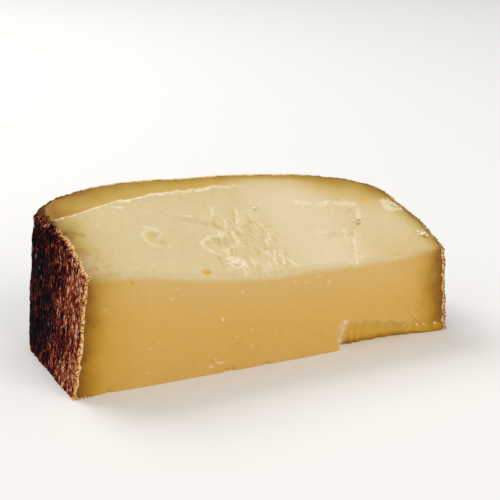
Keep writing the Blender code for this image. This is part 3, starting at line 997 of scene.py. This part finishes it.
def upper_looks(x, y, gap, back_gap):
    """Looks of a point of the upper cut: dry band, crest, flakes, threads, crumbs and cracks, with painted
    shade in the cracks, the tear's grooves and the bite, painted highlights on the crest, the tear's ridges
    and the bite's rim, and painted light right of the middle.
    """
    past = past_crest(x, y)
    band = crest_fade(x) * smooth(*BAND_START, past)
    right = smooth(*RIGHT_SIDE, x)
    rim_end = RIM_SHADE[1] + RIM_SHADE_RIGHT * right
    rim = 1.0 - smooth(RIM_SHADE[0], rim_end, back_gap + RIM_SHADE_SWAY * waves(x, y, 5.0, 33.0))
    crest_width = CREST_THIN + CREST_BROAD * (1.0 - smooth(*CREST_NARROWS, x))
    # Crest: pale crumbs, and a painted highlight where its front edge catches the light.
    crest = CREST_PALE_AND_HIGHLIGHT * crest_fade(x) * bell(past - CREST_AT, crest_width)
    crest *= 0.8 + 0.9 * waves(x, y, 1.6, 34.0)
    crumbly = crumble(x, y)[1] * smooth(*CRUMB_TOP, crumb_grains(x, y))
    flakes = FLAKE_PALE * flake_edge(x, y)
    torn, thread = tear_share(x, y), threads(x, y)
    ridge, groove = stroke_shares(x, y)
    # Pale ridges and dark grooves of the torn strip: partly the torn paste's own tones, partly a painted
    # highlight on the ridges and painted shade in the grooves and valleys.
    torn_pale_and_highlight = max(THREAD_PALE * torn * smooth(*THREAD_TOP, thread), STROKE_PALE * ridge)
    torn_dark_and_shade = max(VALLEY_SHADE * torn * smooth(*VALLEY, -thread), STROKE_SHADE * groove)
    gap_rise = (BAND_GAP[1] - BAND_GAP[0]) * smooth(0.0, BAND_GAP_REACH, x)
    in_band = BAND_GAP[0] + gap_rise * (1.0 - BAND_GAP_RIGHT * right)
    # Painted shade shortens the gap in the cracks, so that their bottoms turn dark.
    gap *= (1.0 + (in_band - 1.0) * max(band, rim)) * (1.0 - CRACK_PAINTED_SHADE * crack_shade(x, y))
    gap *= 1.0 + RIGHT_CLEAR * right * (1.0 - rim)
    # Painted light on the upper cut right of its middle.
    light = PAINTED_LIGHT_RIGHT * smooth(*PAINTED_LIGHT_FROM, x) * (1.0 - smooth(*PAINTED_LIGHT_TO, x)) * smooth(*PAINTED_LIGHT_INSIDE, gap)
    return {
        "rind_gap": gap,
        # split: the upper cut's paler colour, partly its own and partly painted top light and sheen
        "split": 1.0 - LIP_GOLD * right * (1.0 - smooth(0.0, LIP_GOLD_DEPTH, y)),
        # band: the dry band and rim, and painted shade in the tear's grooves and valleys
        "band": max(band, rim, torn_dark_and_shade),
        # pale: crumbs, flake edges and the torn paste's paler tone, with painted light right of the middle
        # and painted highlights on the crest, the tear's ridges and the bite's rim
        "pale": max(light, crest, crumbly, flakes, torn_pale_and_highlight, BITE_HIGHLIGHT * bite_share(x, y, *BITE_HIGHLIGHT_PLACE)),
        # deep: painted shade in gold inside the curved bite
        "deep": BITE_GOLDEN_SHADE * bite_share(x, y, *BITE_GOLDEN_SHADE_PLACE),
    }


print("the band at the left:", round(upper_looks(20.0, 46.0, 11.0, 11.0)["band"], 2))

# %% Shape the paste
RIND_DEPTH = 1.3
SEAM_SINK = 0.22
SEAM_WIDTH = 0.9
FRONT_SINK = 0.16
BASE_LIFT = 0.1


def paste_point(column, row, layer):
    """Place of a point of the paste, and its looks."""
    gap = rind_gap(column, row)
    seam = 1.0 - smooth(0.0, SEAM_WIDTH, gap - RIND_DEPTH)
    place = cheese_point(column, row, layer, SEAM_SINK * seam)
    looks = {"rind_gap": gap, "split": 0.0, "band": 0.0, "pale": 0.0, "deep": 0.0}
    if layer < TINY:
        place.z += BASE_LIFT * seam
    if row < TINY:
        side_gap = min(column, WHEEL_HEIGHT - column)
        place.y += FRONT_SINK * (1.0 - smooth(0.0, SEAM_WIDTH, side_gap - RIND_DEPTH))
        looks = nose_looks(place.x, place.z, layer, gap)
        if layer < 1.0 - TINY:
            depth, deep = eye_depth("nose", place.x, place.z)
            place.y += depth
            looks["deep"] = max(looks["deep"], deep)
    if layer > 1.0 - TINY:
        looks = upper_looks(place.x, place.y, gap, RIM_DEPTH * (1.0 - row))
        depth, deep = eye_depth("top", place.x, place.y)
        place.z -= depth
        looks["deep"] = max(looks["deep"], deep)
    looks["pale"] *= 1.0 - looks["deep"]
    return place, looks


shape(paste_bm, ("rind_gap", "split", "band", "pale", "deep"), paste_point)
paste = save(paste_bm, "paste", sharp_angle=50)

# %% [markdown]
# ## The rind
# The rind is a shell a few grains thick that wraps both ends and the rim. A plan of eight corners is
# extruded upwards and cut at the inner corners, so that every face has four sides and can be gridded.
# Years in a cellar leave long upright grains on it, and where it is cut it crumbles.

# %% A shell round three sides
inner_row = 1.0 - RIND_DEPTH / RIM_DEPTH
inner_right = WHEEL_HEIGHT - RIND_DEPTH
PLAN = (
    (0.0, 0.0), (RIND_DEPTH, 0.0), (RIND_DEPTH, inner_row), (inner_right, inner_row),
    (inner_right, 0.0), (WHEEL_HEIGHT, 0.0), (WHEEL_HEIGHT, 1.0), (0.0, 1.0),
)

rind_bm = bmesh.new()
plan_face = rind_bm.faces.new([rind_bm.verts.new((x, y, 0.0)) for x, y in PLAN])
extruded = bmesh.ops.extrude_face_region(rind_bm, geom=[plan_face], use_keep_orig=True)["geom"]
upper_verts = [part for part in extruded if isinstance(part, bmesh.types.BMVert)]
bmesh.ops.translate(rind_bm, verts=upper_verts, vec=(0.0, 0.0, 1.0))
for axis, level in ((0, RIND_DEPTH), (0, inner_right), (1, inner_row)):
    normal = Matrix.Identity(3)[axis]
    everything = rind_bm.verts[:] + rind_bm.edges[:] + rind_bm.faces[:]
    bmesh.ops.bisect_plane(rind_bm, geom=everything, plane_co=normal * level, plane_no=normal)
print("plan of the rind:", len(rind_bm.faces), "faces")

# %% Grid the shell
LONG_EDGE = 1.0
LONG_CELL = 3.0
RIND_LAYERS = 14
SKIN_CELLS = 4
FINE_ALONG = 10
FINE_UP = 6


def length_mm(edge):
    """Length of an edge of grid space in millimetres, leaving its height out."""
    along = edge.verts[1].co - edge.verts[0].co
    return math.hypot(along.x, along.y * RIM_DEPTH)


def is_outside(face):
    """True where the rind is seen: outside, on the upper cut and at the two ends of the nose cut."""
    sides = ((0, 0.0), (0, WHEEL_HEIGHT), (1, 1.0), (2, 1.0), (1, 0.0))
    return any(on_plane(face, axis, level) for axis, level in sides)


def long_edges(axis):
    return [edge for edge in rind_bm.edges if runs_along(edge, axis) and length_mm(edge) > LONG_EDGE]


def outside_edges(axis):
    edges = {edge for face in rind_bm.faces if is_outside(face) for edge in face.edges}
    return [edge for edge in edges if runs_along(edge, axis) and (axis == 2 or length_mm(edge) > LONG_EDGE)]


through = [edge for edge in rind_bm.edges if 0.0 < length_mm(edge) < 1.01 * RIND_DEPTH]
split(rind_bm, through, SKIN_CELLS - 1)
split(rind_bm, long_edges(0), round(WHEEL_HEIGHT / LONG_CELL) - 1)
split(rind_bm, long_edges(1), round(RIM_DEPTH / LONG_CELL) - 1)
split(rind_bm, [edge for edge in rind_bm.edges if runs_along(edge, 2)], RIND_LAYERS - 1)
print("coarse shell:", len(rind_bm.faces), "faces")
for axis, cells in ((0, FINE_ALONG), (1, FINE_ALONG), (2, FINE_UP)):
    split(rind_bm, outside_edges(axis), cells - 1)
print("fine shell:", len(rind_bm.faces), "faces")

# %% [markdown]
# The grains of the rind run up from the base, on the two ends and round the rim. A noise that is stretched
# upwards gives such grains. It moves the points, and it is kept with them too, so that the finish can be
# dark in the furrows and rusty on the grains.

# %% Relief of the rind
GRAIN_WIDTH = 0.72
GRAIN_LENGTH = 3.4
GRAIN_DEPTH = 0.3
GRAIN_SINK = 0.45
RAG_DEPTH = 0.6
GRAIN_BEND = 0.35
FINE_GRAIN = 2.1
FINE_GRAIN_LENGTH = 1.5
SECTION_ROUGH = 0.42
SECTION_SINK = 0.05
WORN_EDGE = 0.3


def grain_relief(place):
    """Long grains of the skin, from -1 to 1."""
    across = Vector((place.x, place.y, 0.0)) / GRAIN_WIDTH
    bent = across + Vector((0.0, 0.0, place.z / GRAIN_LENGTH + GRAIN_BEND * noise.noise(place / 2.0)))
    coarse = noise.noise(bent)
    fine = noise.noise(Vector((FINE_GRAIN * across.x, FINE_GRAIN * across.y, place.z / FINE_GRAIN_LENGTH)))
    return max(-1.0, min(1.0, 1.4 * coarse + 0.9 * fine))


def ragged(column, row, layer):
    """Moves the inner side of the shell to and fro, so that the rind is thicker here and thinner there."""
    place = Vector((column, row * RIM_DEPTH, layer * NOSE_HEIGHT))
    sway = RAG_DEPTH * (noise.noise(place / 2.2) + 0.6 * noise.noise(place / 0.8))
    inward_left = max(0.0, 1.0 - abs(column - RIND_DEPTH) / RIND_DEPTH)
    inward_right = max(0.0, 1.0 - abs(WHEEL_HEIGHT - column - RIND_DEPTH) / RIND_DEPTH)
    inward_back = max(0.0, 1.0 - abs(RIM_DEPTH * (1.0 - row) - RIND_DEPTH) / RIND_DEPTH)
    return column + sway * (inward_left - inward_right), row - sway * inward_back / RIM_DEPTH


print("a grain at the left:", round(grain_relief(Vector((0.0, 20.0, 15.0))), 2))

# %% Where the rind is worn and tan
WORN_REACH = 32.0
WORN_FOOT = 0.45
WORN_FOOT_HEIGHT = 6.0
WORN_CROWN = 0.6
WORN_CROWN_HEIGHT = 3.0
WORN_RIGHT = 0.6
SECTION_TAN = (30.0, 14.0)
SECTION_RIM = 0.85
SECTION_RIM_FROM = (6.0, 30.0)
SECTION_RIM_TO = (112.0, 85.0)
SECTION_RIGHT = 0.45
SECTION_NOSE_RIGHT = 0.8


def at_left(place):
    """True in the left half of the piece."""
    return place.x < WHEEL_HEIGHT / 2


def worn_skin(place, layer):
    """How far the dark skin has rubbed off: most of all near the nose cut, and a little above and below."""
    front = 1.0 - smooth(0.0, WORN_REACH, place.y)
    foot = WORN_FOOT * (1.0 - smooth(0.0, WORN_FOOT_HEIGHT, place.z))
    crown = WORN_CROWN * (1.0 - smooth(0.0, WORN_CROWN_HEIGHT, (1.0 - layer) * RIM_HEIGHT))
    worn = max(front, foot, crown)
    return worn if at_left(place) else WORN_RIGHT * worn


def section_tan(place):
    """How tan the rind's edge on the upper cut is: in front at the left, and along the rim."""
    if at_left(place):
        return max(smooth(*SECTION_TAN, place.y), SECTION_RIM * smooth(*SECTION_RIM_FROM, place.x))
    return max(SECTION_RIGHT, SECTION_RIM * smooth(*SECTION_RIM_TO, place.x))


print("worn at the front left:", worn_skin(Vector((0.0, 0.0, 15.0)), 0.5))

# %% Shape the rind
SECTION_CALM = 0.8


def rind_point(column, row, layer):
    """Place of a point of the rind, and its looks: grain, section, worn and inside."""
    depth = rind_gap(column, row) / RIND_DEPTH
    place = cheese_point(*ragged(column, row, layer), layer)
    grain = grain_relief(place)
    outside = 1.0 - min(1.0, depth)
    place += way_out(column, row) * outside * GRAIN_DEPTH * (grain - GRAIN_SINK)
    rough = SECTION_ROUGH * (noise.noise(place / 0.9) + 0.5 * noise.noise(place / 0.45))
    looks = {"grain": grain, "section": 0.0, "worn": worn_skin(place, layer), "inside": depth}
    if layer > 1.0 - TINY:
        tan_share = section_tan(place)
        behind = tan_share if row > 0.5 else 0.0
        place.z += rough * (1.0 - SECTION_CALM * behind) - WORN_EDGE * outside**3
        looks.update(section=1.0, worn=tan_share, inside=depth + behind)
    if row < TINY:
        place.y += rough - SECTION_SINK + WORN_EDGE * outside**3
        looks.update(section=1.0, worn=1.0 if at_left(place) else SECTION_NOSE_RIGHT)
    return place, looks


shape(rind_bm, ("grain", "section", "worn", "inside"), rind_point)
rind = save(rind_bm, "rind", sharp_angle=60)

# %% [markdown]
# ## Crumbs and crystals
# Aged paste sheds crumbs when it splits, and it grows small white crystals. Each is a small ball of few
# faces, turned, dented and pressed flat, the biggest ones most of all. Those on the piece are sunk into it
# by a part of their height, so that none of them floats.

# %% Pebbles
UPPER_CRUMBS = (
    (50.4, 5.2, 3.2), (51.8, 4.0, 1.8), (48.9, 6.6, 2.0), (50.9, 8.1, 0.8), (52.6, 5.4, 0.7),
    (53.6, 3.0, 0.6), (69.0, 31.1, 1.3), (70.3, 31.7, 0.7), (115.3, 7.6, 3.0), (114.4, 9.1, 1.5),
    (116.0, 6.5, 1.5), (115.8, 27.4, 1.1), (114.9, 28.5, 0.8), (116.8, 25.9, 0.9), (116.3, 29.2, 0.6),
    (98.3, 20.9, 1.2), (99.6, 20.8, 1.1), (100.5, 20.7, 0.8), (73.6, 43.4, 0.7), (90.0, 41.2, 0.6),
    (7.0, 4.6, 0.5), (9.2, 2.9, 0.5),
)
NOSE_CRUMBS = (
    (43.8, 16.2, 0.7), (105.2, 3.9, 1.0), (109.6, 3.3, 1.25), (112.0, 3.1, 1.0), (116.1, 2.9, 1.25),
    (109.3, 9.7, 0.65), (108.7, 6.7, 0.8), (42.2, 3.4, 0.6), (83.4, 8.4, 0.9), (85.4, 8.3, 0.6),
)
LOOSE_CRUMBS = (
    (0.1, -0.42, 1.2), (1.4, -0.5, 1.0), (2.5, -0.46, 1.1), (3.5, -0.58, 0.8), (-0.9, -0.35, 1.1),
    (4.6, -0.6, 0.7),
)
PEBBLE_FLATNESS = 0.55
PEBBLE_WIDTH = (0.6, 0.9)
PEBBLE_TILT = 0.4
PEBBLE_DENTS = 0.35
DENT_LENGTH = 0.45
BIG_PEBBLE = 1.5
ABOVE_UPPER_CUT = 0.1
BEHIND_NOSE_CUT = 0.12
random.seed(7)


def add_pebble(bm, centre, size):
    """One small dented ball of that size across."""
    spin = Matrix.Rotation(random.uniform(0.0, math.tau), 4, "Z")
    tilt = Matrix.Rotation(random.uniform(-PEBBLE_TILT, PEBBLE_TILT), 4, "X")
    flatness = PEBBLE_FLATNESS / max(1.0, size / BIG_PEBBLE)
    pressed = Matrix.Diagonal((1.0, random.uniform(*PEBBLE_WIDTH), flatness, 1.0))
    place = Matrix.Translation(centre) @ spin @ tilt @ pressed
    made = bmesh.ops.create_icosphere(bm, subdivisions=2, radius=size / 2, matrix=place)
    for vert in made["verts"]:
        vert.co += (vert.co - Vector(centre)) * PEBBLE_DENTS * noise.noise(vert.co / (DENT_LENGTH * size))


crystal_bm = bmesh.new()
for x, y, size in UPPER_CRUMBS:
    add_pebble(crystal_bm, (x, y, upper_height(x, y) + ABOVE_UPPER_CUT * size), size)
for x, z, size in NOSE_CRUMBS:
    add_pebble(crystal_bm, (x, nose_relief(x, z) + BEHIND_NOSE_CUT * size, z), size)
crystals = save(crystal_bm, "crystals", sharp_angle=60)
loose_bm = bmesh.new()
for x, y, size in LOOSE_CRUMBS:
    add_pebble(loose_bm, (x, y, 0.5 * PEBBLE_FLATNESS * size), size)
crumbs = save(loose_bm, "crumbs", sharp_angle=60)

# %% [markdown]
# ## Finishes
# A finish is a graph of nodes. A few helpers keep the graphs readable: one adds a node and fills or links
# its inputs, and the others are the nodes that come back again and again.

# %% Helpers that start a finish


def linear(red, green, blue):
    """A screen colour of 0 to 255 as the linear colour that a shader wants."""
    shares = (value / 255 for value in (red, green, blue))
    return (*(c / 12.92 if c <= 0.04045 else ((c + 0.055) / 1.055) ** 2.4 for c in shares), 1.0)


def finish(name):
    """An empty finish: its graph and its shader."""
    made = bpy.data.materials.new(name)
    made.use_nodes = True
    return made, made.node_tree, made.node_tree.nodes["Principled BSDF"]


def add_node(tree, kind, inputs, **settings):
    """A node with its settings and inputs: a socket is linked, and anything else is set as a value."""
    node = tree.nodes.new(kind)
    for name, value in settings.items():
        setattr(node, name, value)
    for name, value in inputs.items():
        if isinstance(value, bpy.types.NodeSocket):
            tree.links.new(value, node.inputs[name])
        else:
            node.inputs[name].default_value = value
    return node


def connect(tree, shader, **sockets):
    for name, socket in sockets.items():
        tree.links.new(socket, shader.inputs[name.replace("_", " ")])


print("mid grey is", round(linear(128, 128, 128)[0], 3), "to a shader")

# %% Helpers for patterns and ranges


def kept(tree, name):
    """A number that was kept with the points of the mesh."""
    return add_node(tree, "ShaderNodeAttribute", {}, attribute_name=name).outputs["Fac"]


def where(tree, stretch=(1.0, 1.0, 1.0)):
    """Object coordinates, stretched or squeezed."""
    place = add_node(tree, "ShaderNodeTexCoord", {}).outputs["Object"]
    return add_node(tree, "ShaderNodeMapping", {"Vector": place, "Scale": stretch}).outputs["Vector"]


def pattern(tree, wavelength, detail=3.0, rough=0.5, stretch=(1.0, 1.0, 1.0)):
    """Noise of that wavelength in millimetres, from 0 to 1."""
    inputs = {"Vector": where(tree, stretch), "Scale": 1.0 / (wavelength * MM), "Detail": detail}
    return add_node(tree, "ShaderNodeTexNoise", {**inputs, "Roughness": rough}).outputs["Fac"]


def spots(tree, spacing, stretch=(1.0, 1.0, 1.0)):
    """Distance to scattered points, from 0 on them, in units of their spacing."""
    inputs = {"Vector": where(tree, stretch), "Scale": 1.0 / (spacing * MM)}
    return add_node(tree, "ShaderNodeTexVoronoi", inputs).outputs["Distance"]


def ranged(tree, value, low, high, to_low=0.0, to_high=1.0):
    """A value drawn out from one range to another, with soft ends."""
    inputs = {"Value": value, "From Min": low, "From Max": high, "To Min": to_low, "To Max": to_high}
    return add_node(tree, "ShaderNodeMapRange", inputs, interpolation_type="SMOOTHSTEP").outputs["Result"]


def work_out(tree, operation, first, second):
    return add_node(tree, "ShaderNodeMath", {0: first, 1: second}, operation=operation).outputs[0]


print("a wavelength of 1 mm is a scale of", round(1.0 / MM))

# %% Helpers for colours and bumps


def tint(tree, share, below, above):
    """One colour over another, by a share from 0 to 1."""
    return add_node(tree, "ShaderNodeMix", {0: share, 6: below, 7: above}, data_type="RGBA").outputs[2]


def steps(tree, value, stops):
    """A colour ramp with a stop at each given value."""
    node = add_node(tree, "ShaderNodeValToRGB", {"Fac": value})
    points = node.color_ramp.elements
    points.remove(points[-1])
    points[0].position, points[0].color = stops[0]
    for position, colour in stops[1:]:
        points.new(position).color = colour
    return node.outputs["Color"]


def bumped(tree, height, depth, below=None):
    """A bump of that depth in millimetres, over another one."""
    inputs = {"Height": height, "Distance": depth * MM, "Strength": 1.0}
    if below is not None:
        inputs["Normal"] = below
    return add_node(tree, "ShaderNodeBump", inputs).outputs["Normal"]


print("a bump of 0.2 mm is", 0.2 * MM, "m deep to a shader")

# %% [markdown]
# ## Finish of the paste
# The smooth nose cut is a warm gold and shines softly. The split upper cut is much paler, partly because
# its countless small breaks scatter light and partly from painted top light and sheen. Near the rind the
# paste has dried and turned olive and then brown, and thin crests and crumbs are almost white, the crests
# partly from a painted highlight. These states are blended by what each point keeps.

# %% Paste: three states, each from the rind inwards
GAP_RANGE = 20.0

cheddar, tree, shader = finish("aged cheddar paste")
wander = ranged(tree, pattern(tree, 6.0), 0.2, 0.8, -1.0, 1.0)
# The rind gap also carries painted shade in the cracks and at the foot of the break.
gap_share = work_out(tree, "DIVIDE", work_out(tree, "ADD", kept(tree, "rind_gap"), wander), GAP_RANGE)
gold = steps(tree, gap_share, [
    (0.075, linear(130, 80, 6)), (0.13, linear(148, 99, 12)), (0.20, linear(168, 120, 26)),
    (0.27, linear(182, 135, 40)), (0.34, linear(191, 146, 52)), (0.43, linear(198, 154, 62)),
    (0.58, linear(204, 161, 74)), (1.0, linear(209, 167, 86)),
])
cream = steps(tree, gap_share, [
    (0.075, linear(140, 102, 34)), (0.13, linear(162, 130, 58)), (0.20, linear(177, 148, 78)),
    (0.30, linear(190, 165, 100)), (0.45, linear(202, 180, 126)), (0.62, linear(209, 188, 141)),
    (1.0, linear(213, 193, 150)),
])
dry = steps(tree, gap_share, [
    (0.075, linear(148, 104, 26)), (0.15, linear(166, 128, 44)), (0.30, linear(178, 144, 58)),
    (0.50, linear(193, 160, 80)), (1.0, linear(203, 169, 96)),
])
print("nodes in the three states:", len(tree.nodes))

# %% Paste: mottle, marks and skin
CRUMB_WHITE = linear(236, 222, 192)
EYE_ORANGE = linear(222, 172, 16)

mottle = ranged(tree, pattern(tree, 17.0, 4.0, 0.55), 0.3, 0.7)
mottle = work_out(tree, "MULTIPLY", mottle, ranged(tree, gap_share, 0.2, 0.6, 0.0, 0.35))
gold = tint(tree, mottle, gold, linear(213, 171, 94))
cream = tint(tree, mottle, cream, linear(212, 194, 146))
upper_colour = tint(tree, kept(tree, "band"), cream, dry)
# The split face's paler colour is partly its own and partly painted top light and sheen.
base_colour = tint(tree, kept(tree, "split"), gold, upper_colour)
speck = ranged(tree, spots(tree, 7.5), 0.04, 0.08, 0.35, 0.0)
base_colour = tint(tree, speck, base_colour, linear(228, 206, 160))
fine_mottle = ranged(tree, pattern(tree, 1.8, 4.0, 0.6), 0.35, 0.7, 0.0, 0.14)
base_colour = tint(tree, fine_mottle, base_colour, linear(184, 144, 76))
# pale and deep also carry painted light, painted highlights and the painted shade in the bite.
base_colour = tint(tree, kept(tree, "pale"), base_colour, CRUMB_WHITE)
base_colour = tint(tree, kept(tree, "deep"), base_colour, EYE_ORANGE)
grain = pattern(tree, 0.7, 4.0, 0.6)
skin = bumped(tree, pattern(tree, 3.2, 3.0), 0.06)
skin = bumped(tree, grain, 0.03, skin)
connect(tree, shader, Base_Color=base_colour, Normal=skin)
connect(tree, shader, Roughness=ranged(tree, grain, 0.3, 0.7, 0.42, 0.56))
shader.inputs["Specular IOR Level"].default_value = 0.16
shader.inputs["Subsurface Weight"].default_value = 0.22
shader.inputs["Subsurface Radius"].default_value = (1.0, 0.6, 0.22)
shader.inputs["Subsurface Scale"].default_value = 0.0018
paste.data.materials.append(cheddar)
print("nodes in the finish of the paste:", len(tree.nodes))

# %% [markdown]
# ## Finish of the rind
# The rind is nearly black in its furrows and rusty on the grains, with tan and cream flecks where the
# skin has rubbed off, most of them near the nose cut. Its cut edge is tan in front and along the rim, and
# brown at the back left corner. A dark skin has to be rough and hardly glossy, or it turns grey in so much
# soft light.

# %% Skin of the rind: how pale each point is, and the colours from dark furrow to worn grain
UPRIGHT = (1.0, 1.0, 0.26)
STREAK_CONTRAST = 2.1
STREAK_LEVEL = -0.6
GRAIN_SHARE = 0.12
WORN_SHARE = 0.31

crust, tree, shader = finish("natural rind")
streaks = pattern(tree, 0.5, 5.0, 0.75, UPRIGHT)
level = work_out(tree, "ADD", work_out(tree, "MULTIPLY", streaks, STREAK_CONTRAST), STREAK_LEVEL)
level = work_out(tree, "ADD", work_out(tree, "MULTIPLY", kept(tree, "grain"), GRAIN_SHARE), level)
patches = ranged(tree, pattern(tree, 4.5, 3.0, 0.5, (1.0, 1.0, 0.5)), 0.35, 0.65, -0.1, 0.08)
level = work_out(tree, "ADD", level, patches)
level = work_out(tree, "ADD", level, work_out(tree, "MULTIPLY", kept(tree, "worn"), WORN_SHARE))
skin_colour = steps(tree, level, [
    (0.46, linear(4, 0, 7)), (0.58, linear(19, 2, 13)), (0.65, linear(72, 13, 15)),
    (0.73, linear(136, 36, 16)), (0.81, linear(174, 72, 30)), (0.90, linear(212, 136, 78)),
    (1.0, linear(246, 226, 196)),
])
# Painted glints: pale grey flecks on the dark skin where it would catch the light.
painted_glints = ranged(tree, spots(tree, 2.6, (1.0, 1.0, 0.3)), 0.05, 0.12, 0.75, 0.0)
skin_colour = tint(tree, painted_glints, skin_colour, linear(168, 160, 164))
ember = ranged(tree, spots(tree, 3.1, (0.9, 1.1, 0.4)), 0.06, 0.16, 0.45, 0.0)
skin_colour = tint(tree, ember, skin_colour, linear(176, 84, 44))
print("nodes in the skin of the rind:", len(tree.nodes))

# %% Cut edge of the rind, and the whole finish
INSIDE_SHARE = 0.26
SPECKLE_CONTRAST = 2.3
SPECKLE_LEVEL = -0.68

depths = work_out(tree, "MULTIPLY", kept(tree, "inside"), INSIDE_SHARE)
speckle = work_out(tree, "MULTIPLY", pattern(tree, 0.6, 4.0, 0.8), SPECKLE_CONTRAST)
depths = work_out(tree, "ADD", depths, work_out(tree, "ADD", speckle, SPECKLE_LEVEL))
brown_edge = steps(tree, depths, [
    (0.42, linear(34, 14, 12)), (0.56, linear(78, 42, 20)), (0.74, linear(128, 86, 38)),
])
tan_edge = steps(tree, depths, [
    (0.36, linear(92, 38, 20)), (0.48, linear(178, 106, 46)), (0.60, linear(220, 162, 84)),
    (0.78, linear(244, 214, 160)),
])
section_colour = tint(tree, kept(tree, "worn"), brown_edge, tan_edge)
colour = tint(tree, kept(tree, "section"), skin_colour, section_colour)
skin = bumped(tree, pattern(tree, 0.5, 4.0, 0.65, UPRIGHT), 0.2)
connect(tree, shader, Base_Color=colour, Normal=skin)
connect(tree, shader, Roughness=ranged(tree, streaks, 0.3, 0.7, 0.6, 0.85))
shader.inputs["Specular IOR Level"].default_value = 0.05
rind.data.materials.append(crust)
print("nodes in the finish of the rind:", len(tree.nodes))

# %% [markdown]
# ## Finish of the crumbs
# Crystals and crumbs on the cuts are nearly white. The loose ones at the foot come from the golden paste.
# Both are cloudy and finely dented, so one function makes them from two colours each.

# %% Crumbs


def crumb_finish(name, wavelength, spread, colours, rough):
    """A cloudy finish between two colours."""
    made, tree, shader = finish(name)
    cloud = ranged(tree, pattern(tree, wavelength, 4.0, 0.6), *spread)
    dents = bumped(tree, pattern(tree, 0.25), 0.05)
    connect(tree, shader, Base_Color=tint(tree, cloud, *colours), Normal=dents)
    shader.inputs["Roughness"].default_value = rough
    return made


PALE = (linear(240, 231, 212), linear(222, 200, 158))
GOLDEN = (linear(196, 140, 66), linear(226, 184, 112))

crystals.data.materials.append(crumb_finish("pale crumb", 0.6, (0.3, 0.7), PALE, 0.5))
crumbs.data.materials.append(crumb_finish("golden crumb", 0.5, (0.35, 0.65), GOLDEN, 0.55))
print("pieces with crumbs:", crystals.name, crumbs.name)

# %% [markdown]
# ## Hand over
# Each piece rides on the one body of the model. Paste and rind together stand for the imported solid.

# %% Ride and replace
for piece in (paste, rind, crystals, crumbs):
    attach(piece, "root")
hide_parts("cheese")
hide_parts("cheese")
